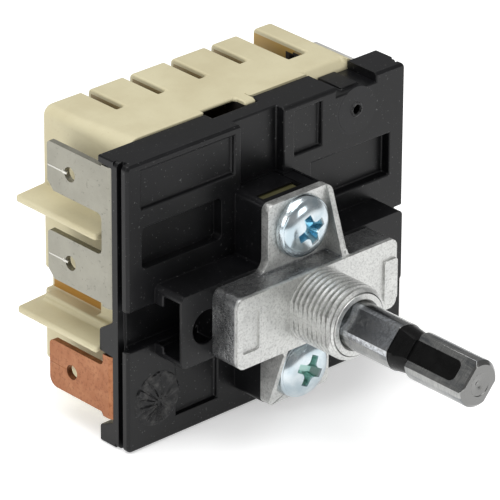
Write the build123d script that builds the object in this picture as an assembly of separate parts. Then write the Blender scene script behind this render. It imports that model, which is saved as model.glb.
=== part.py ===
from build123d import *
import os
from math import atan2, cos, degrees, hypot, pi, radians, sin, sqrt

# Energy regulator: the rotary cycling switch behind the knob of a cooker ring.
# Millimetres. X to the right seen from the front, Y to the back, Z up.
# The origin is where the shaft axis meets the front face of the bracket's cross-bar,
# which is the face that seats against the back of the cooker's panel.

# Black front base
BASE_WIDTH = 45.2
BASE_HEIGHT = 38.0
AXIS_FROM_LEFT = 22.05
AXIS_ABOVE_FOOT = 16.3
BOSS_DEPTH = 4.8
SLAB_THICKNESS = 2.75
BASE_DEPTH = 5.25
BASE_EDGE_RADIUS = 0.7
GROOVE_SETBACK = 1.0
GROOVE_WIDTH = 0.8
GROOVE_DEPTH = 1.0
BOSS_LEFT = 17.75
BOSS_RIGHT = 18.35
BOSS_HEIGHT = 9.4
COLUMN_WIDTH = 9.9
COLUMN_HEIGHT = 26.9
BOSS_HOLE_DIAMETER = 4.4
BOSS_HOLE_OFFSET = 13.75
BOSS_FRONT_WALL = 0.6
BOSS_SHELL = 0.95
BOSS_CORE_END = 11.0
BOSS_END_LIP = 0.4
BOSS_END_LIP_DEPTH = 1.45
SIDE_NOTCH_HEIGHT = 5.3
SIDE_NOTCH_DEPTH = 1.5

# Cream rear housing
HOUSING_DEPTH = 14.65
HOUSING_INSET_LEFT = 3.8
HOUSING_INSET_RIGHT = 4.0
HOUSING_TOP_STEP = 0.2
HOUSING_FOOT_LIFT = 1.25
HOUSING_NOTCH_HEIGHT = 4.4
HOUSING_NOTCH_DEPTH = 1.6
SIDE_WALL = 2.4
WALL = 1.6
HOUSING_RADIUS = 0.9
HOUSING_TOP_LEFT_RADIUS = 2.3
HOUSING_REAR_RADIUS = 1.4
VENT_WIDTH = 1.35
VENT_LENGTH = 6.7
VENT_DEPTH = 3.0
VENT_PITCH = 6.63
VENT_COUNT = 4
VENT_FIRST = 6.0
POCKET_WIDTH = 3.1
POCKET_LENGTH = 9.7
POCKET_DEPTH = 5.0
POCKET_FROM_RIGHT = 3.1
BARRIER_REACH = 4.3
BARRIER_THICKNESS = 1.0
BARRIER_ROOT_THICKNESS = 1.5
BARRIER_UPPER = 11.35
BARRIER_LOWER = -3.6
SIDE_RECESS_BOTTOM = -2.6
SIDE_RECESS_TOP = 0.4
SIDE_RECESS_DEPTH = 1.3
SIDE_RECESS_LENGTH = 10.1

# Zinc mounting bracket with its threaded bush
BAR_WIDTH = 26.2
BAR_DEPTH = 4.5
BAR_CORNER_RADIUS = 1.1
EAR_WIDTH = 10.2
EAR_THICKNESS = 1.2
EAR_CORNER_RADIUS = 0.9
RIB_THICKNESS = 0.75
RIB_ROOT_SETBACK = 0.3
RIB_TIP_HEIGHT = 0.12
RIB_ROOT_RADIUS = 0.9
BUSH_DIAMETER = 9.5
BUSH_LENGTH = 7.3
BUSH_CHAMFER = 0.6
BUSH_FLATS = 8.9
SHAFT_DIAMETER = 6.0
SHAFT_RUNNING_CLEARANCE = 0.05

# Shaft
SHAFT_REACH = 27.6
NECK_LENGTH = 3.8
END_SECTION_LENGTH = 11.1
CLIP_TONGUE_SETBACK = 2.2
SHAFT_TIP_CHAMFER = 0.5
SHAFT_FLATS_ANGLE = 139.0
TIP_FLATS = 4.2
ROOT_FLATS = 5.1
ROOT_FLATS_START = 6.4
NECK_DIAMETER = 3.8
CAM_SEAT_START = 12.2
CAM_SEAT_END = 25.4
CAM_SEAT_FLATS = 4.6
REAR_JOURNAL_DIAMETER = 4.0
REAR_JOURNAL_END = 28.2
CLIP_TONGUE_WIDTH = 2.6
CLIP_TONGUE_DEPTH = 0.5
CLIP_BACK_DIAMETER = 5.8
CLIP_FRONT_DIAMETER = 5.0

# Pan-head screws of the bracket
SCREW_SPACING = 18.9
SCREW_HEAD_CLEARANCE = 0.85
SCREW_HEAD_DIAMETER = 7.9
SCREW_HEAD_HEIGHT = 2.3
SCREW_SHANK_DIAMETER = 3.5
SCREW_LENGTH = 7.4
SCREW_HOLE_DIAMETER = 4.2
RECESS_WING = 1.05
RECESS_SPAN = 4.6
RECESS_DEPTH = 1.5

# Shaft retaining ring
RING_THICKNESS = 0.6
RING_DIAMETER = 9.0
RING_GROOVE_DIAMETER = 4.8
RING_POCKET_DIAMETER = 10.0

# Terminals, sheet metal with 6.3 mm tabs
TAB_WIDTH = 6.3
TAB_PITCH = 11.7
TAB_BELOW_TOP = 1.3
TAB_ABOVE_FOOT = 10.3
RIGHT_TAB_INSET = 1.8
SHEET = 0.8
TAB_END = 23.7
TAB_UPPER_CHAMFER = 0.35
TAB_LOWER_CHAMFER = 1.1
COPPER_UPPER_RADIUS = 0.8
COPPER_LOWER_RADIUS = 1.3
TAB_HOLE_DIAMETER = 1.9
TAB_HOLE_FROM_END = 4.1
LEG_FRONT = 12.1
LEG_BEND_RADIUS = 0.9
WEB_WIDTH = 1.8
LEG_SLOT_CLEARANCE = 0.05

# Mechanism in the cavity
CAM_FRONT = 13.6
CAM_WIDTH = 3.0
CAM_HUB_DIAMETER = 7.8
CAM_DWELL = 22.0
CAM_SEAT_CLEARANCE = 0.02
CAM_RAMP = 26.0
CAM_POINT_STEP = 12.0
TURN = 300.0
NOSE_RADIUS = 1.2
NOSE_START = 5.5
NOSE_RISE = 2.5
NOSE_CLEARANCE = 0.08
PIVOT_Z = 7.5
PIVOT_PIN_DIAMETER = 2.0
PIVOT_CLEARANCE = 0.05
FOLLOWER_WIDTH = 3.4
FOLLOWER_BOSS_DIAMETER = 4.0
FOLLOWER_ARM_THICKNESS = 1.9
ISOLATOR_CAM_FRONT = 18.0
ISOLATOR_CAM_WIDTH = 2.5
ISOLATOR_CAM_RADIUS = 8.8
ISOLATOR_NOTCH_RADIUS = 7.8
ISOLATOR_NOTCH_HALF_ANGLE = 14.0
BLADE_THICKNESS = 0.4
KNUCKLE_DIAMETER = 0.8
BLADE_WIDTH = 5.0
BLADE_FRONT = 16.0
BLADE_SLOT_CLEARANCE = 0.06
CONTACT_DIAMETER = 3.0
CONTACT_THICKNESS = 0.6
CONTACT_TOUCH = 0.02
ISOLATOR_GAP = 0.8
POST_HEIGHT = 4.6
POST_BACK = 22.2
SHELF_BACK = 21.0
BIMETAL_THICKNESS = 0.6
BIMETAL_WIDTH = 4.0
BIMETAL_FRONT = 15.0
HEATER_WALL = 0.4
HEATER_TURNS = 8
HEATER_TAPE = 0.6
HEATER_TAPE_HEIGHT = 0.2
PUSHER_DIAMETER = 2.4
ANCHOR_PLATE_FRONT = 18.6
ANCHOR_RIVET_DIAMETER = 1.6
CALIBRATION_DIAMETER = 3.0
CALIBRATION_CLEARANCE = 0.02
CALIBRATION_FRONT = 10.7
ACCESS_HOLE_DIAMETER = 1.3
LATCH_LEFT = -3.75
LATCH_RIGHT = 2.3
LATCH_FRONT = 5.45
LATCH_THICKNESS = 1.1
LATCH_CLEARANCE = 0.1
LATCH_BACK = 14.2
LATCH_LEG_LEFT = 0.45
LATCH_LEG_FRONT = 13.45
LATCH_LEG_DROP = 0.25
LATCH_OPENING_BACK = 7.0
WELL_LEFT = -4.05
WELL_RIGHT = 2.5
WELL_STEP_RIGHT = 4.2
WELL_FRONT_WALL = 0.85
WELL_DEPTH = 0.25
WELL_STEP_DEPTH = 0.15
REAR_BEARING_DIAMETER = 8.0
REAR_BEARING_FRONT = 25.6
REAR_BEARING_BOTTOM = 28.4

# Places worked out from the sizes above
LEFT = -AXIS_FROM_LEFT
RIGHT = LEFT + BASE_WIDTH
FOOT = -AXIS_ABOVE_FOOT
TOP = FOOT + BASE_HEIGHT
BOSS_FRONT = BAR_DEPTH
FACE = BOSS_FRONT + BOSS_DEPTH
SLAB_BACK = FACE + SLAB_THICKNESS
JOINT = FACE + BASE_DEPTH
BACK = JOINT + HOUSING_DEPTH
HOUSING_LEFT = LEFT + HOUSING_INSET_LEFT
HOUSING_RIGHT = RIGHT - HOUSING_INSET_RIGHT
HOUSING_TOP = TOP + HOUSING_TOP_STEP
CAVITY_LEFT = HOUSING_LEFT + SIDE_WALL
CAVITY_RIGHT = HOUSING_RIGHT - SIDE_WALL
CAVITY_TOP = HOUSING_TOP - WALL
HOUSING_FOOT = FOOT + HOUSING_FOOT_LIFT
CAVITY_FOOT = HOUSING_FOOT + WALL - 0.2
CAVITY_BACK = BACK - WALL
NECK_END = SHAFT_REACH - END_SECTION_LENGTH
NECK_START = NECK_END - NECK_LENGTH
CLIP_TONGUE_END = SHAFT_REACH - CLIP_TONGUE_SETBACK
BAR_HEIGHT = SCREW_SPACING - SCREW_HEAD_DIAMETER - 2 * SCREW_HEAD_CLEARANCE
EAR_REACH = (SCREW_SPACING + SCREW_HEAD_DIAMETER) / 2
TAB_TOP = TOP - TAB_BELOW_TOP
TAB_MIDDLE = TAB_TOP - TAB_PITCH
TAB_BOTTOM = FOOT + TAB_ABOVE_FOOT
RIGHT_TAB_X = RIGHT - RIGHT_TAB_INSET
PIVOT_X = CAVITY_RIGHT - 3.75
CONTACT_X = CAVITY_RIGHT - 6.25
SHELF_START = CONTACT_X - 2.5
SHELF_END = CONTACT_X + 2.5
POST_X = CAVITY_LEFT + 3.95
BLADE_LEFT_END = POST_X - 1.3
BLADE_RIGHT_END = CONTACT_X + 1.9
SNAP_LEVEL = TOP - 6.7
ISOLATOR_LEVEL = FOOT + 6.8
BIMETAL_LEVEL = SNAP_LEVEL - 3.8
BIMETAL_FREE_END = POST_X + 1.4
BIMETAL_FIXED_END = CAVITY_RIGHT - 0.15
PUSHER_X = BIMETAL_FREE_END + 1.5
HEATER_START = PUSHER_X + 5.0
HEATER_END = SHELF_START
CALIBRATION_X = CAVITY_RIGHT - 1.82
CALIBRATION_Z = TOP - 3.76
ANCHOR_LEFT = CAVITY_RIGHT - 3.35
ANCHOR_TOP = CALIBRATION_Z + 1.66
ANCHOR_RIVET_X = CALIBRATION_X
EAR_FRONT = BAR_DEPTH - EAR_THICKNESS
OVERLAP = 0.3
SKIRT_TOP_WALL = 2.4
FACE_CHAMFER = 0.3
BOSS_BOTTOM = -4.5
BOSS_TOP = 5.05
COLUMN_TOP = 13.35
COLUMN_BOTTOM = -13.5
LATCH_TOP = COLUMN_TOP - 0.6
LATCH_BOTTOM = LATCH_TOP - LATCH_THICKNESS
WELL_FRONT = BOSS_FRONT + WELL_FRONT_WALL
TOP_LUG = (TOP - 1.0, TOP, TOP)
MIDDLE_LUG = (-4.15, -1.2, 0.45)
FOOT_LUG = (FOOT, FOOT + 2.15, FOOT + 3.25)
SIDE_NOTCH_BOTTOM = -2.65
SIDE_NOTCH_TOP = 2.6
RIGHT_NOTCH_DEPTH = 1.4
RIGHT_NOTCH_TOP = 2.5
TOP_STEP_RIGHT = RIGHT - 4.95
TOP_STEP_LEFT = TOP_STEP_RIGHT - 6.6
TOP_STEP_DEPTH = 1.1
TOP_PAD_LEFT = TOP_STEP_LEFT + 1.7
TOP_PAD_RIGHT = TOP_STEP_RIGHT - 2.1
JOINT_GAP_LEFT = -5.15
JOINT_GAP_RIGHT = 2.15
JOINT_GAP_FRONT = 13.14
JOINT_GAP_BACK = 15.36
PANEL_EDGE_LEFT = LEFT + 2.3
PANEL_EDGE_RIGHT = RIGHT - 2.6
PANEL_EDGE_TOP = TOP - 1.1
GATE_RIGHT = LEFT + 7.7
PARTING_LINE_X = -7.05
PARTING_LINE_WIDTH = 0.1
PARTING_LINE_DEPTH = 0.08
FACE_PANELS = (
    (PANEL_EDGE_LEFT, -5.05, TOP - 6.1, PANEL_EDGE_TOP, 0.6, 0.0),
    (PANEL_EDGE_LEFT, -7.1, 7.7, TOP - 8.55, 1.4, 0.7),
    (-4.05, 2.95, COLUMN_TOP - WELL_DEPTH, TOP + 1.0, 1.4, 0.0),
    (4.75, 9.15, TOP - 6.75, TOP - 0.95, 0.6, 0.0),
    (7.55, PANEL_EDGE_RIGHT, 7.4, TOP - 8.7, 1.25, 0.0),
    (GATE_RIGHT, -7.75, FOOT + 2.75, FOOT + 10.9, 0.6, 0.0),
    (7.55, PANEL_EDGE_RIGHT, FOOT + 2.8, FOOT + 10.9, 0.6, 0.0),
)
PIVOT_BOSS_DIAMETER = 4.2
PIVOT_BOSS_BACK = 13.3
PIVOT_PIN_FRONT = 10.9
PIVOT_HEAD_DIAMETER = 3.4
FOLLOWER_FRONT = 13.4
FOLLOWER_ARM_END = 6.9
FOLLOWER_SWING = 10.9
CALIBRATION_BOSS_DIAMETER = 5.0
RING_FRONT = BAR_DEPTH + 0.1
RING_POCKET_DEPTH = 0.8
LEG_SPANS_LEFT = (
    (SNAP_LEVEL - POST_HEIGHT / 2, SNAP_LEVEL + POST_HEIGHT / 2),
    (ISOLATOR_LEVEL - POST_HEIGHT / 2, ISOLATOR_LEVEL + POST_HEIGHT / 2),
)
SNAP_FIXED_TOP = SNAP_LEVEL - 2 * CONTACT_THICKNESS - CONTACT_TOUCH
ISOLATOR_FIXED_TOP = ISOLATOR_LEVEL - 2 * CONTACT_THICKNESS - ISOLATOR_GAP
LEG_SPANS_RIGHT = (
    (SNAP_FIXED_TOP - 3.88, SNAP_FIXED_TOP),
    (ISOLATOR_FIXED_TOP - SHEET, ISOLATOR_FIXED_TOP + 4.2),
)
BAR_LEFT = -12.95
BAR_RIGHT = 13.15
ROOT_RADIUS = 1.7
PAD_RECESS_LEFT = -12.1
PAD_RECESS_RIGHT = -9.4
PAD_RECESS_BOTTOM = -2.7
PAD_RECESS_TOP = 2.5
PAD_RECESS_DEPTH = 0.3
RAISED_PAD_LEFT = 10.9
RAISED_PAD_BOTTOM = -3.4
RAISED_PAD_TOP = 2.1
UPPER_RECESS_TURN = 28.0
LOWER_RECESS_TURN = 6.0
CLIP_TONGUE_PROUD = 0.1
PUSHER_STEM_DIAMETER = 1.2
PUSHER_GAP = 0.15
BARRIER_TIP_THICKNESS = 0.85
VENT_LEFT_EDGES = tuple(HOUSING_LEFT + VENT_FIRST + VENT_PITCH * number for number in range(VENT_COUNT))
POCKET_LEFT = HOUSING_RIGHT - POCKET_FROM_RIGHT - POCKET_WIDTH
SIDE_LEDGE = 0.8
SIDE_STEP = 0.4
SIDE_STEP_BACK = 23.5
POCKET_OPEN_LENGTH = 2.8
JOINT_LIP = 0.55
JOINT_LIP_REACH = 1.5
HOUSING_BACK_CHAMFER = 0.45


def front_plane(y):
    """Plane across the shaft axis at depth y, seen from the front: local x is X, local y is Z."""
    return Plane(origin=(0, y, 0), x_dir=(1, 0, 0), z_dir=(0, -1, 0))


def plate(outline, front, back):
    """Extrude an outline drawn in X and Z from depth front to depth back."""
    return extrude(front_plane(back) * outline, back - front)


def window(x0, x1, z0, z1, radius=0.0):
    """Rectangle in X and Z between two corners, with rounded corners if a radius is given."""
    width = x1 - x0
    height = z1 - z0
    shape = RectangleRounded(width, height, radius) if radius else Rectangle(width, height)
    return Pos((x0 + x1) / 2, (z0 + z1) / 2) * shape


def block(x0, x1, y0, y1, z0, z1):
    """Box between two corners."""
    return Pos((x0 + x1) / 2, (y0 + y1) / 2, (z0 + z1) / 2) * Box(x1 - x0, y1 - y0, z1 - z0)


def rod(x, z, diameter, front, back):
    """Cylinder along Y at x, z between two depths."""
    return plate(Pos(x, z) * Circle(diameter / 2), front, back)


def peg(x, y, diameter, low, high):
    """Upright cylinder at x, y between two heights."""
    return Pos(x, y, (low + high) / 2) * Cylinder(diameter / 2, high - low)


def side_plane(x):
    """Plane across X at x: local x is Y, local y is Z."""
    return Plane(origin=(x, 0, 0), x_dir=(0, 1, 0), z_dir=(1, 0, 0))


def turned(points):
    """Solid of revolution about the shaft axis from points of radius and depth."""
    outline = make_face(Polyline([(r, y, 0) for r, y in points], close=True))
    return revolve(outline, Axis.Y)


def beyond_flat(distance, front, back, side):
    """Material outside one flat of the shaft, at a distance from its axis, on side 0 or 180 degrees."""
    cut = Rot(0, 0, SHAFT_FLATS_ANGLE + side) * Pos(distance + 5, 0) * Rectangle(10, 20)
    return plate(cut, front, back)


def make_front_base():
    """Black moulding: face slab with panels, cross-shaped boss, side grooves, lugs and skirt."""
    slab = plate(window(LEFT, RIGHT, FOOT, TOP, BASE_EDGE_RADIUS), FACE, SLAB_BACK)
    slab = chamfer(slab.faces().sort_by(Axis.Y)[0].edges(), FACE_CHAMFER)
    bar = plate(window(-BOSS_LEFT, BOSS_RIGHT, BOSS_BOTTOM, BOSS_TOP, BASE_EDGE_RADIUS), BOSS_FRONT, SLAB_BACK)
    column = plate(
        window(-COLUMN_WIDTH / 2, COLUMN_WIDTH / 2, COLUMN_BOTTOM, COLUMN_TOP, BASE_EDGE_RADIUS),
        BOSS_FRONT,
        SLAB_BACK,
    )
    skirt = plate(window(HOUSING_LEFT, HOUSING_RIGHT, FOOT, TOP), SLAB_BACK - OVERLAP, JOINT)
    skirt -= plate(
        window(CAVITY_LEFT, CAVITY_RIGHT, CAVITY_FOOT, TOP - SKIRT_TOP_WALL), SLAB_BACK, JOINT + OVERLAP
    )
    base = slab + skirt
    for bottom, joint_top, slab_top in (TOP_LUG, MIDDLE_LUG, FOOT_LUG):
        base += lug(LEFT, HOUSING_LEFT + OVERLAP, bottom, joint_top, slab_top)
        base += lug(HOUSING_RIGHT - OVERLAP, RIGHT, bottom, joint_top, slab_top)
    for x0, x1, z0, z1, depth, radius in FACE_PANELS:
        base -= plate(window(x0, x1, z0, z1, radius), FACE - OVERLAP, FACE + depth)
    base += bar + column
    base -= block(
        PARTING_LINE_X, PARTING_LINE_X + PARTING_LINE_WIDTH, FACE - 1, JOINT + 1, TOP - PARTING_LINE_DEPTH, TOP + 1
    )
    core_front = BOSS_FRONT + BOSS_FRONT_WALL
    core_bottom = BOSS_BOTTOM + BOSS_SHELL
    core_top = BOSS_TOP - BOSS_SHELL
    lip_front = FACE - BOSS_END_LIP_DEPTH
    lip_end = -BOSS_LEFT + BOSS_END_LIP
    base -= block(-BOSS_LEFT - 1, -BOSS_CORE_END, core_front, lip_front, core_bottom, core_top)
    base -= block(lip_end, -BOSS_CORE_END, lip_front - 0.1, FACE, core_bottom, core_top)
    base -= block(BOSS_CORE_END, BOSS_RIGHT + 1, core_front, FACE, core_bottom, core_top)
    base -= block(
        LEFT - 1, -BOSS_CORE_END, lip_front - 0.1, FACE + SIDE_NOTCH_DEPTH, SIDE_NOTCH_BOTTOM, SIDE_NOTCH_TOP
    )
    base -= block(WELL_LEFT, WELL_RIGHT, WELL_FRONT, FACE + 1, COLUMN_TOP - WELL_DEPTH, COLUMN_TOP + 1)
    base -= block(
        WELL_RIGHT - 0.1, WELL_STEP_RIGHT, WELL_FRONT, FACE - 0.4, COLUMN_TOP - WELL_STEP_DEPTH, COLUMN_TOP + 1
    )
    latch_room = (LATCH_LEFT - LATCH_CLEARANCE, LATCH_RIGHT + LATCH_CLEARANCE)
    base -= block(*latch_room, WELL_FRONT, SLAB_BACK + 1, LATCH_BOTTOM - 0.05, LATCH_TOP + 0.05)
    base -= block(*latch_room, WELL_FRONT, LATCH_OPENING_BACK, LATCH_TOP, COLUMN_TOP + 1)
    base += rod(PIVOT_X, PIVOT_Z, PIVOT_BOSS_DIAMETER, SLAB_BACK - OVERLAP, PIVOT_BOSS_BACK)
    base += rod(CALIBRATION_X, CALIBRATION_Z, CALIBRATION_BOSS_DIAMETER, SLAB_BACK - OVERLAP, JOINT)
    groove_back = FACE + GROOVE_SETBACK + GROOVE_WIDTH
    for outside, inside in ((LEFT - 1, LEFT + GROOVE_DEPTH), (RIGHT - GROOVE_DEPTH, RIGHT + 1)):
        base -= block(outside, inside, FACE + GROOVE_SETBACK, groove_back, FOOT - 1, TOP + 1)
    base -= block(RIGHT - RIGHT_NOTCH_DEPTH, RIGHT + 1, FACE - 1, SLAB_BACK, 0.0, RIGHT_NOTCH_TOP)
    base -= block(TOP_STEP_LEFT, TOP_STEP_RIGHT, FACE - 1, JOINT + 1, TOP - TOP_STEP_DEPTH, TOP + 1)
    base += block(
        TOP_PAD_LEFT, TOP_PAD_RIGHT, FACE + GROOVE_SETBACK, JOINT, TOP - SKIRT_TOP_WALL, TOP - TOP_STEP_DEPTH + 0.3
    )
    base -= block(JOINT_GAP_LEFT, JOINT_GAP_RIGHT, JOINT_GAP_FRONT, JOINT + 1, CAVITY_TOP - 2, TOP + 1)
    for low, high in LEG_SPANS_LEFT:
        base -= leg_slot(HOUSING_LEFT - 0.5, CAVITY_LEFT + 0.5, low, high)
    for low, high in LEG_SPANS_RIGHT:
        base -= leg_slot(CAVITY_RIGHT - 0.5, HOUSING_RIGHT + 0.5, low, high)
    base -= rod(0, 0, SHAFT_DIAMETER + 2 * SHAFT_RUNNING_CLEARANCE, BOSS_FRONT - 1, SLAB_BACK + 1)
    base -= rod(0, 0, RING_POCKET_DIAMETER, BOSS_FRONT - 1, BOSS_FRONT + RING_POCKET_DEPTH)
    for z in (SCREW_SPACING / 2, -SCREW_SPACING / 2):
        base -= rod(0, z, SCREW_SHANK_DIAMETER, BOSS_FRONT - 1, EAR_FRONT + SCREW_LENGTH + 0.3)
    for x in (-BOSS_HOLE_OFFSET, BOSS_HOLE_OFFSET):
        base -= rod(x, 0, BOSS_HOLE_DIAMETER, BOSS_FRONT - 1, core_front + 0.5)
    base -= rod(PIVOT_X, PIVOT_Z, PIVOT_PIN_DIAMETER, PIVOT_PIN_FRONT, SLAB_BACK + 3)
    base -= rod(CALIBRATION_X, CALIBRATION_Z, ACCESS_HOLE_DIAMETER, FACE - 1, CALIBRATION_FRONT)
    base -= rod(
        CALIBRATION_X, CALIBRATION_Z, CALIBRATION_DIAMETER + 2 * CALIBRATION_CLEARANCE, CALIBRATION_FRONT, JOINT + 1
    )
    return base


def lug(x0, x1, bottom, joint_top, slab_top):
    """Lug at the side of the base behind the face slab, its top falling towards the joint."""
    outline = Polyline(
        (SLAB_BACK - OVERLAP, bottom),
        (JOINT, bottom),
        (JOINT, joint_top),
        (SLAB_BACK, slab_top),
        (SLAB_BACK - OVERLAP, slab_top),
        close=True,
    )
    return extrude(side_plane(x0) * make_face(outline), x1 - x0)


def leg_slot(x0, x1, low, high):
    """Slot through a side wall of the skirt for the leg of a terminal."""
    gap = LEG_SLOT_CLEARANCE
    return block(x0, x1, LEG_FRONT - gap, LEG_FRONT + SHEET + gap, low - gap, high + gap)


def barrier(root_x, tip_x, level):
    """Insulating fin between two tabs, thicker where it leaves the housing wall."""
    middle = level - BARRIER_THICKNESS / 2
    half_root = BARRIER_ROOT_THICKNESS / 2
    half_tip = BARRIER_TIP_THICKNESS / 2
    outline = Polyline(
        (root_x, middle - half_root),
        (tip_x, middle - half_tip),
        (tip_x, middle + half_tip),
        (root_x, middle + half_root),
        close=True,
    )
    return plate(make_face(outline), JOINT, BACK)


def shell(left, front, back, top_left_radius):
    """Length of the housing's outer shape between two depths, its left face at x left."""
    length = plate(window(left, HOUSING_RIGHT, HOUSING_FOOT, HOUSING_TOP), front, back)
    top_left = length.edges().filter_by(Axis.Y).sort_by(Axis.X)[:2].sort_by(Axis.Z)[-1]
    length = fillet(top_left, top_left_radius)
    others = [e for e in length.edges().filter_by(Axis.Y) if e.center().X > 0 or e.center().Z < 0]
    return fillet(others, HOUSING_RADIUS)


def make_rear_housing():
    """Cream moulding: open-fronted box with barrier fins, vent slots and a rear bearing."""
    rear = shell(HOUSING_LEFT, SIDE_STEP_BACK, BACK, HOUSING_REAR_RADIUS)
    rear = chamfer(rear.faces().sort_by(Axis.Y)[-1].edges(), HOUSING_BACK_CHAMFER)
    outer = rear + shell(HOUSING_LEFT + SIDE_STEP, JOINT, SIDE_STEP_BACK, HOUSING_TOP_LEFT_RADIUS)
    housing = outer - block(CAVITY_LEFT, CAVITY_RIGHT, JOINT - 1, CAVITY_BACK, CAVITY_FOOT, CAVITY_TOP)
    for level in (BARRIER_UPPER, BARRIER_LOWER):
        housing += barrier(HOUSING_LEFT + 1, HOUSING_LEFT - BARRIER_REACH, level)
        housing += barrier(HOUSING_RIGHT - 1, HOUSING_RIGHT + BARRIER_REACH, level)
    housing -= block(
        HOUSING_LEFT - 1,
        HOUSING_LEFT + HOUSING_NOTCH_DEPTH,
        JOINT + 1.5,
        BACK + 1,
        HOUSING_FOOT - 1,
        FOOT + HOUSING_NOTCH_HEIGHT,
    )
    recess_front = BACK - SIDE_RECESS_LENGTH
    housing -= block(
        HOUSING_LEFT - 1,
        HOUSING_LEFT + SIDE_RECESS_DEPTH,
        recess_front,
        BACK + 1,
        SIDE_RECESS_BOTTOM,
        SIDE_RECESS_TOP,
    )
    housing += block(
        HOUSING_LEFT - SIDE_LEDGE, HOUSING_LEFT + 1, JOINT, BACK - 1, SIDE_RECESS_BOTTOM - 1.2, SIDE_RECESS_BOTTOM
    )
    for x in VENT_LEFT_EDGES:
        housing -= block(x, x + VENT_WIDTH, BACK - VENT_LENGTH, BACK + 1, HOUSING_TOP - VENT_DEPTH, HOUSING_TOP + 1)
    housing -= block(
        POCKET_LEFT,
        POCKET_LEFT + POCKET_WIDTH,
        BACK - POCKET_LENGTH,
        BACK + 1,
        HOUSING_TOP - POCKET_DEPTH,
        HOUSING_TOP + 1,
    )
    housing += block(
        POCKET_LEFT + POCKET_WIDTH,
        CAVITY_RIGHT + OVERLAP,
        BACK - POCKET_LENGTH + POCKET_OPEN_LENGTH,
        CAVITY_BACK + OVERLAP,
        HOUSING_TOP - POCKET_DEPTH + 1,
        CAVITY_TOP + OVERLAP,
    )
    housing -= block(JOINT_GAP_LEFT, JOINT_GAP_RIGHT, JOINT - 1, JOINT_GAP_BACK, CAVITY_TOP - 1, HOUSING_TOP + 1)
    housing -= block(
        JOINT_GAP_LEFT,
        JOINT_GAP_RIGHT,
        JOINT - 1,
        JOINT_GAP_BACK + JOINT_LIP_REACH,
        CAVITY_TOP - 1,
        HOUSING_TOP - JOINT_LIP,
    )
    nose = Polyline(
        (JOINT - 0.1, HOUSING_TOP + 0.1),
        (JOINT + TOP_STEP_DEPTH, HOUSING_TOP + 0.1),
        (JOINT - 0.1, HOUSING_TOP - TOP_STEP_DEPTH - 0.1),
        close=True,
    )
    housing -= extrude(side_plane(TOP_STEP_LEFT) * make_face(nose), TOP_STEP_RIGHT - TOP_STEP_LEFT)
    housing += rod(0, 0, REAR_BEARING_DIAMETER, REAR_BEARING_FRONT, CAVITY_BACK + OVERLAP)
    housing -= rod(
        0, 0, REAR_JOURNAL_DIAMETER + 2 * SHAFT_RUNNING_CLEARANCE, REAR_BEARING_FRONT - 1, REAR_BEARING_BOTTOM
    )
    return housing + make_latch()


def make_latch():
    """Snap latch of the housing: a leg down from the joint opening and a tongue through the base."""
    leg = Polyline(
        (LATCH_LEG_FRONT, LATCH_BOTTOM),
        (LATCH_LEG_FRONT, HOUSING_TOP - LATCH_LEG_DROP),
        (LATCH_LEG_FRONT + 0.4, HOUSING_TOP),
        (JOINT_GAP_BACK + JOINT_LIP_REACH + OVERLAP, HOUSING_TOP),
        (JOINT_GAP_BACK + JOINT_LIP_REACH + OVERLAP, CAVITY_TOP - 0.6),
        (LATCH_BACK, CAVITY_TOP - 1.4),
        (LATCH_BACK, LATCH_BOTTOM),
        close=True,
    )
    latch = extrude(side_plane(LATCH_LEG_LEFT) * make_face(leg), JOINT_GAP_RIGHT - 0.1 - LATCH_LEG_LEFT)
    return latch + block(LATCH_LEFT, LATCH_RIGHT, LATCH_FRONT, LATCH_BACK, LATCH_BOTTOM, LATCH_TOP)


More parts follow.
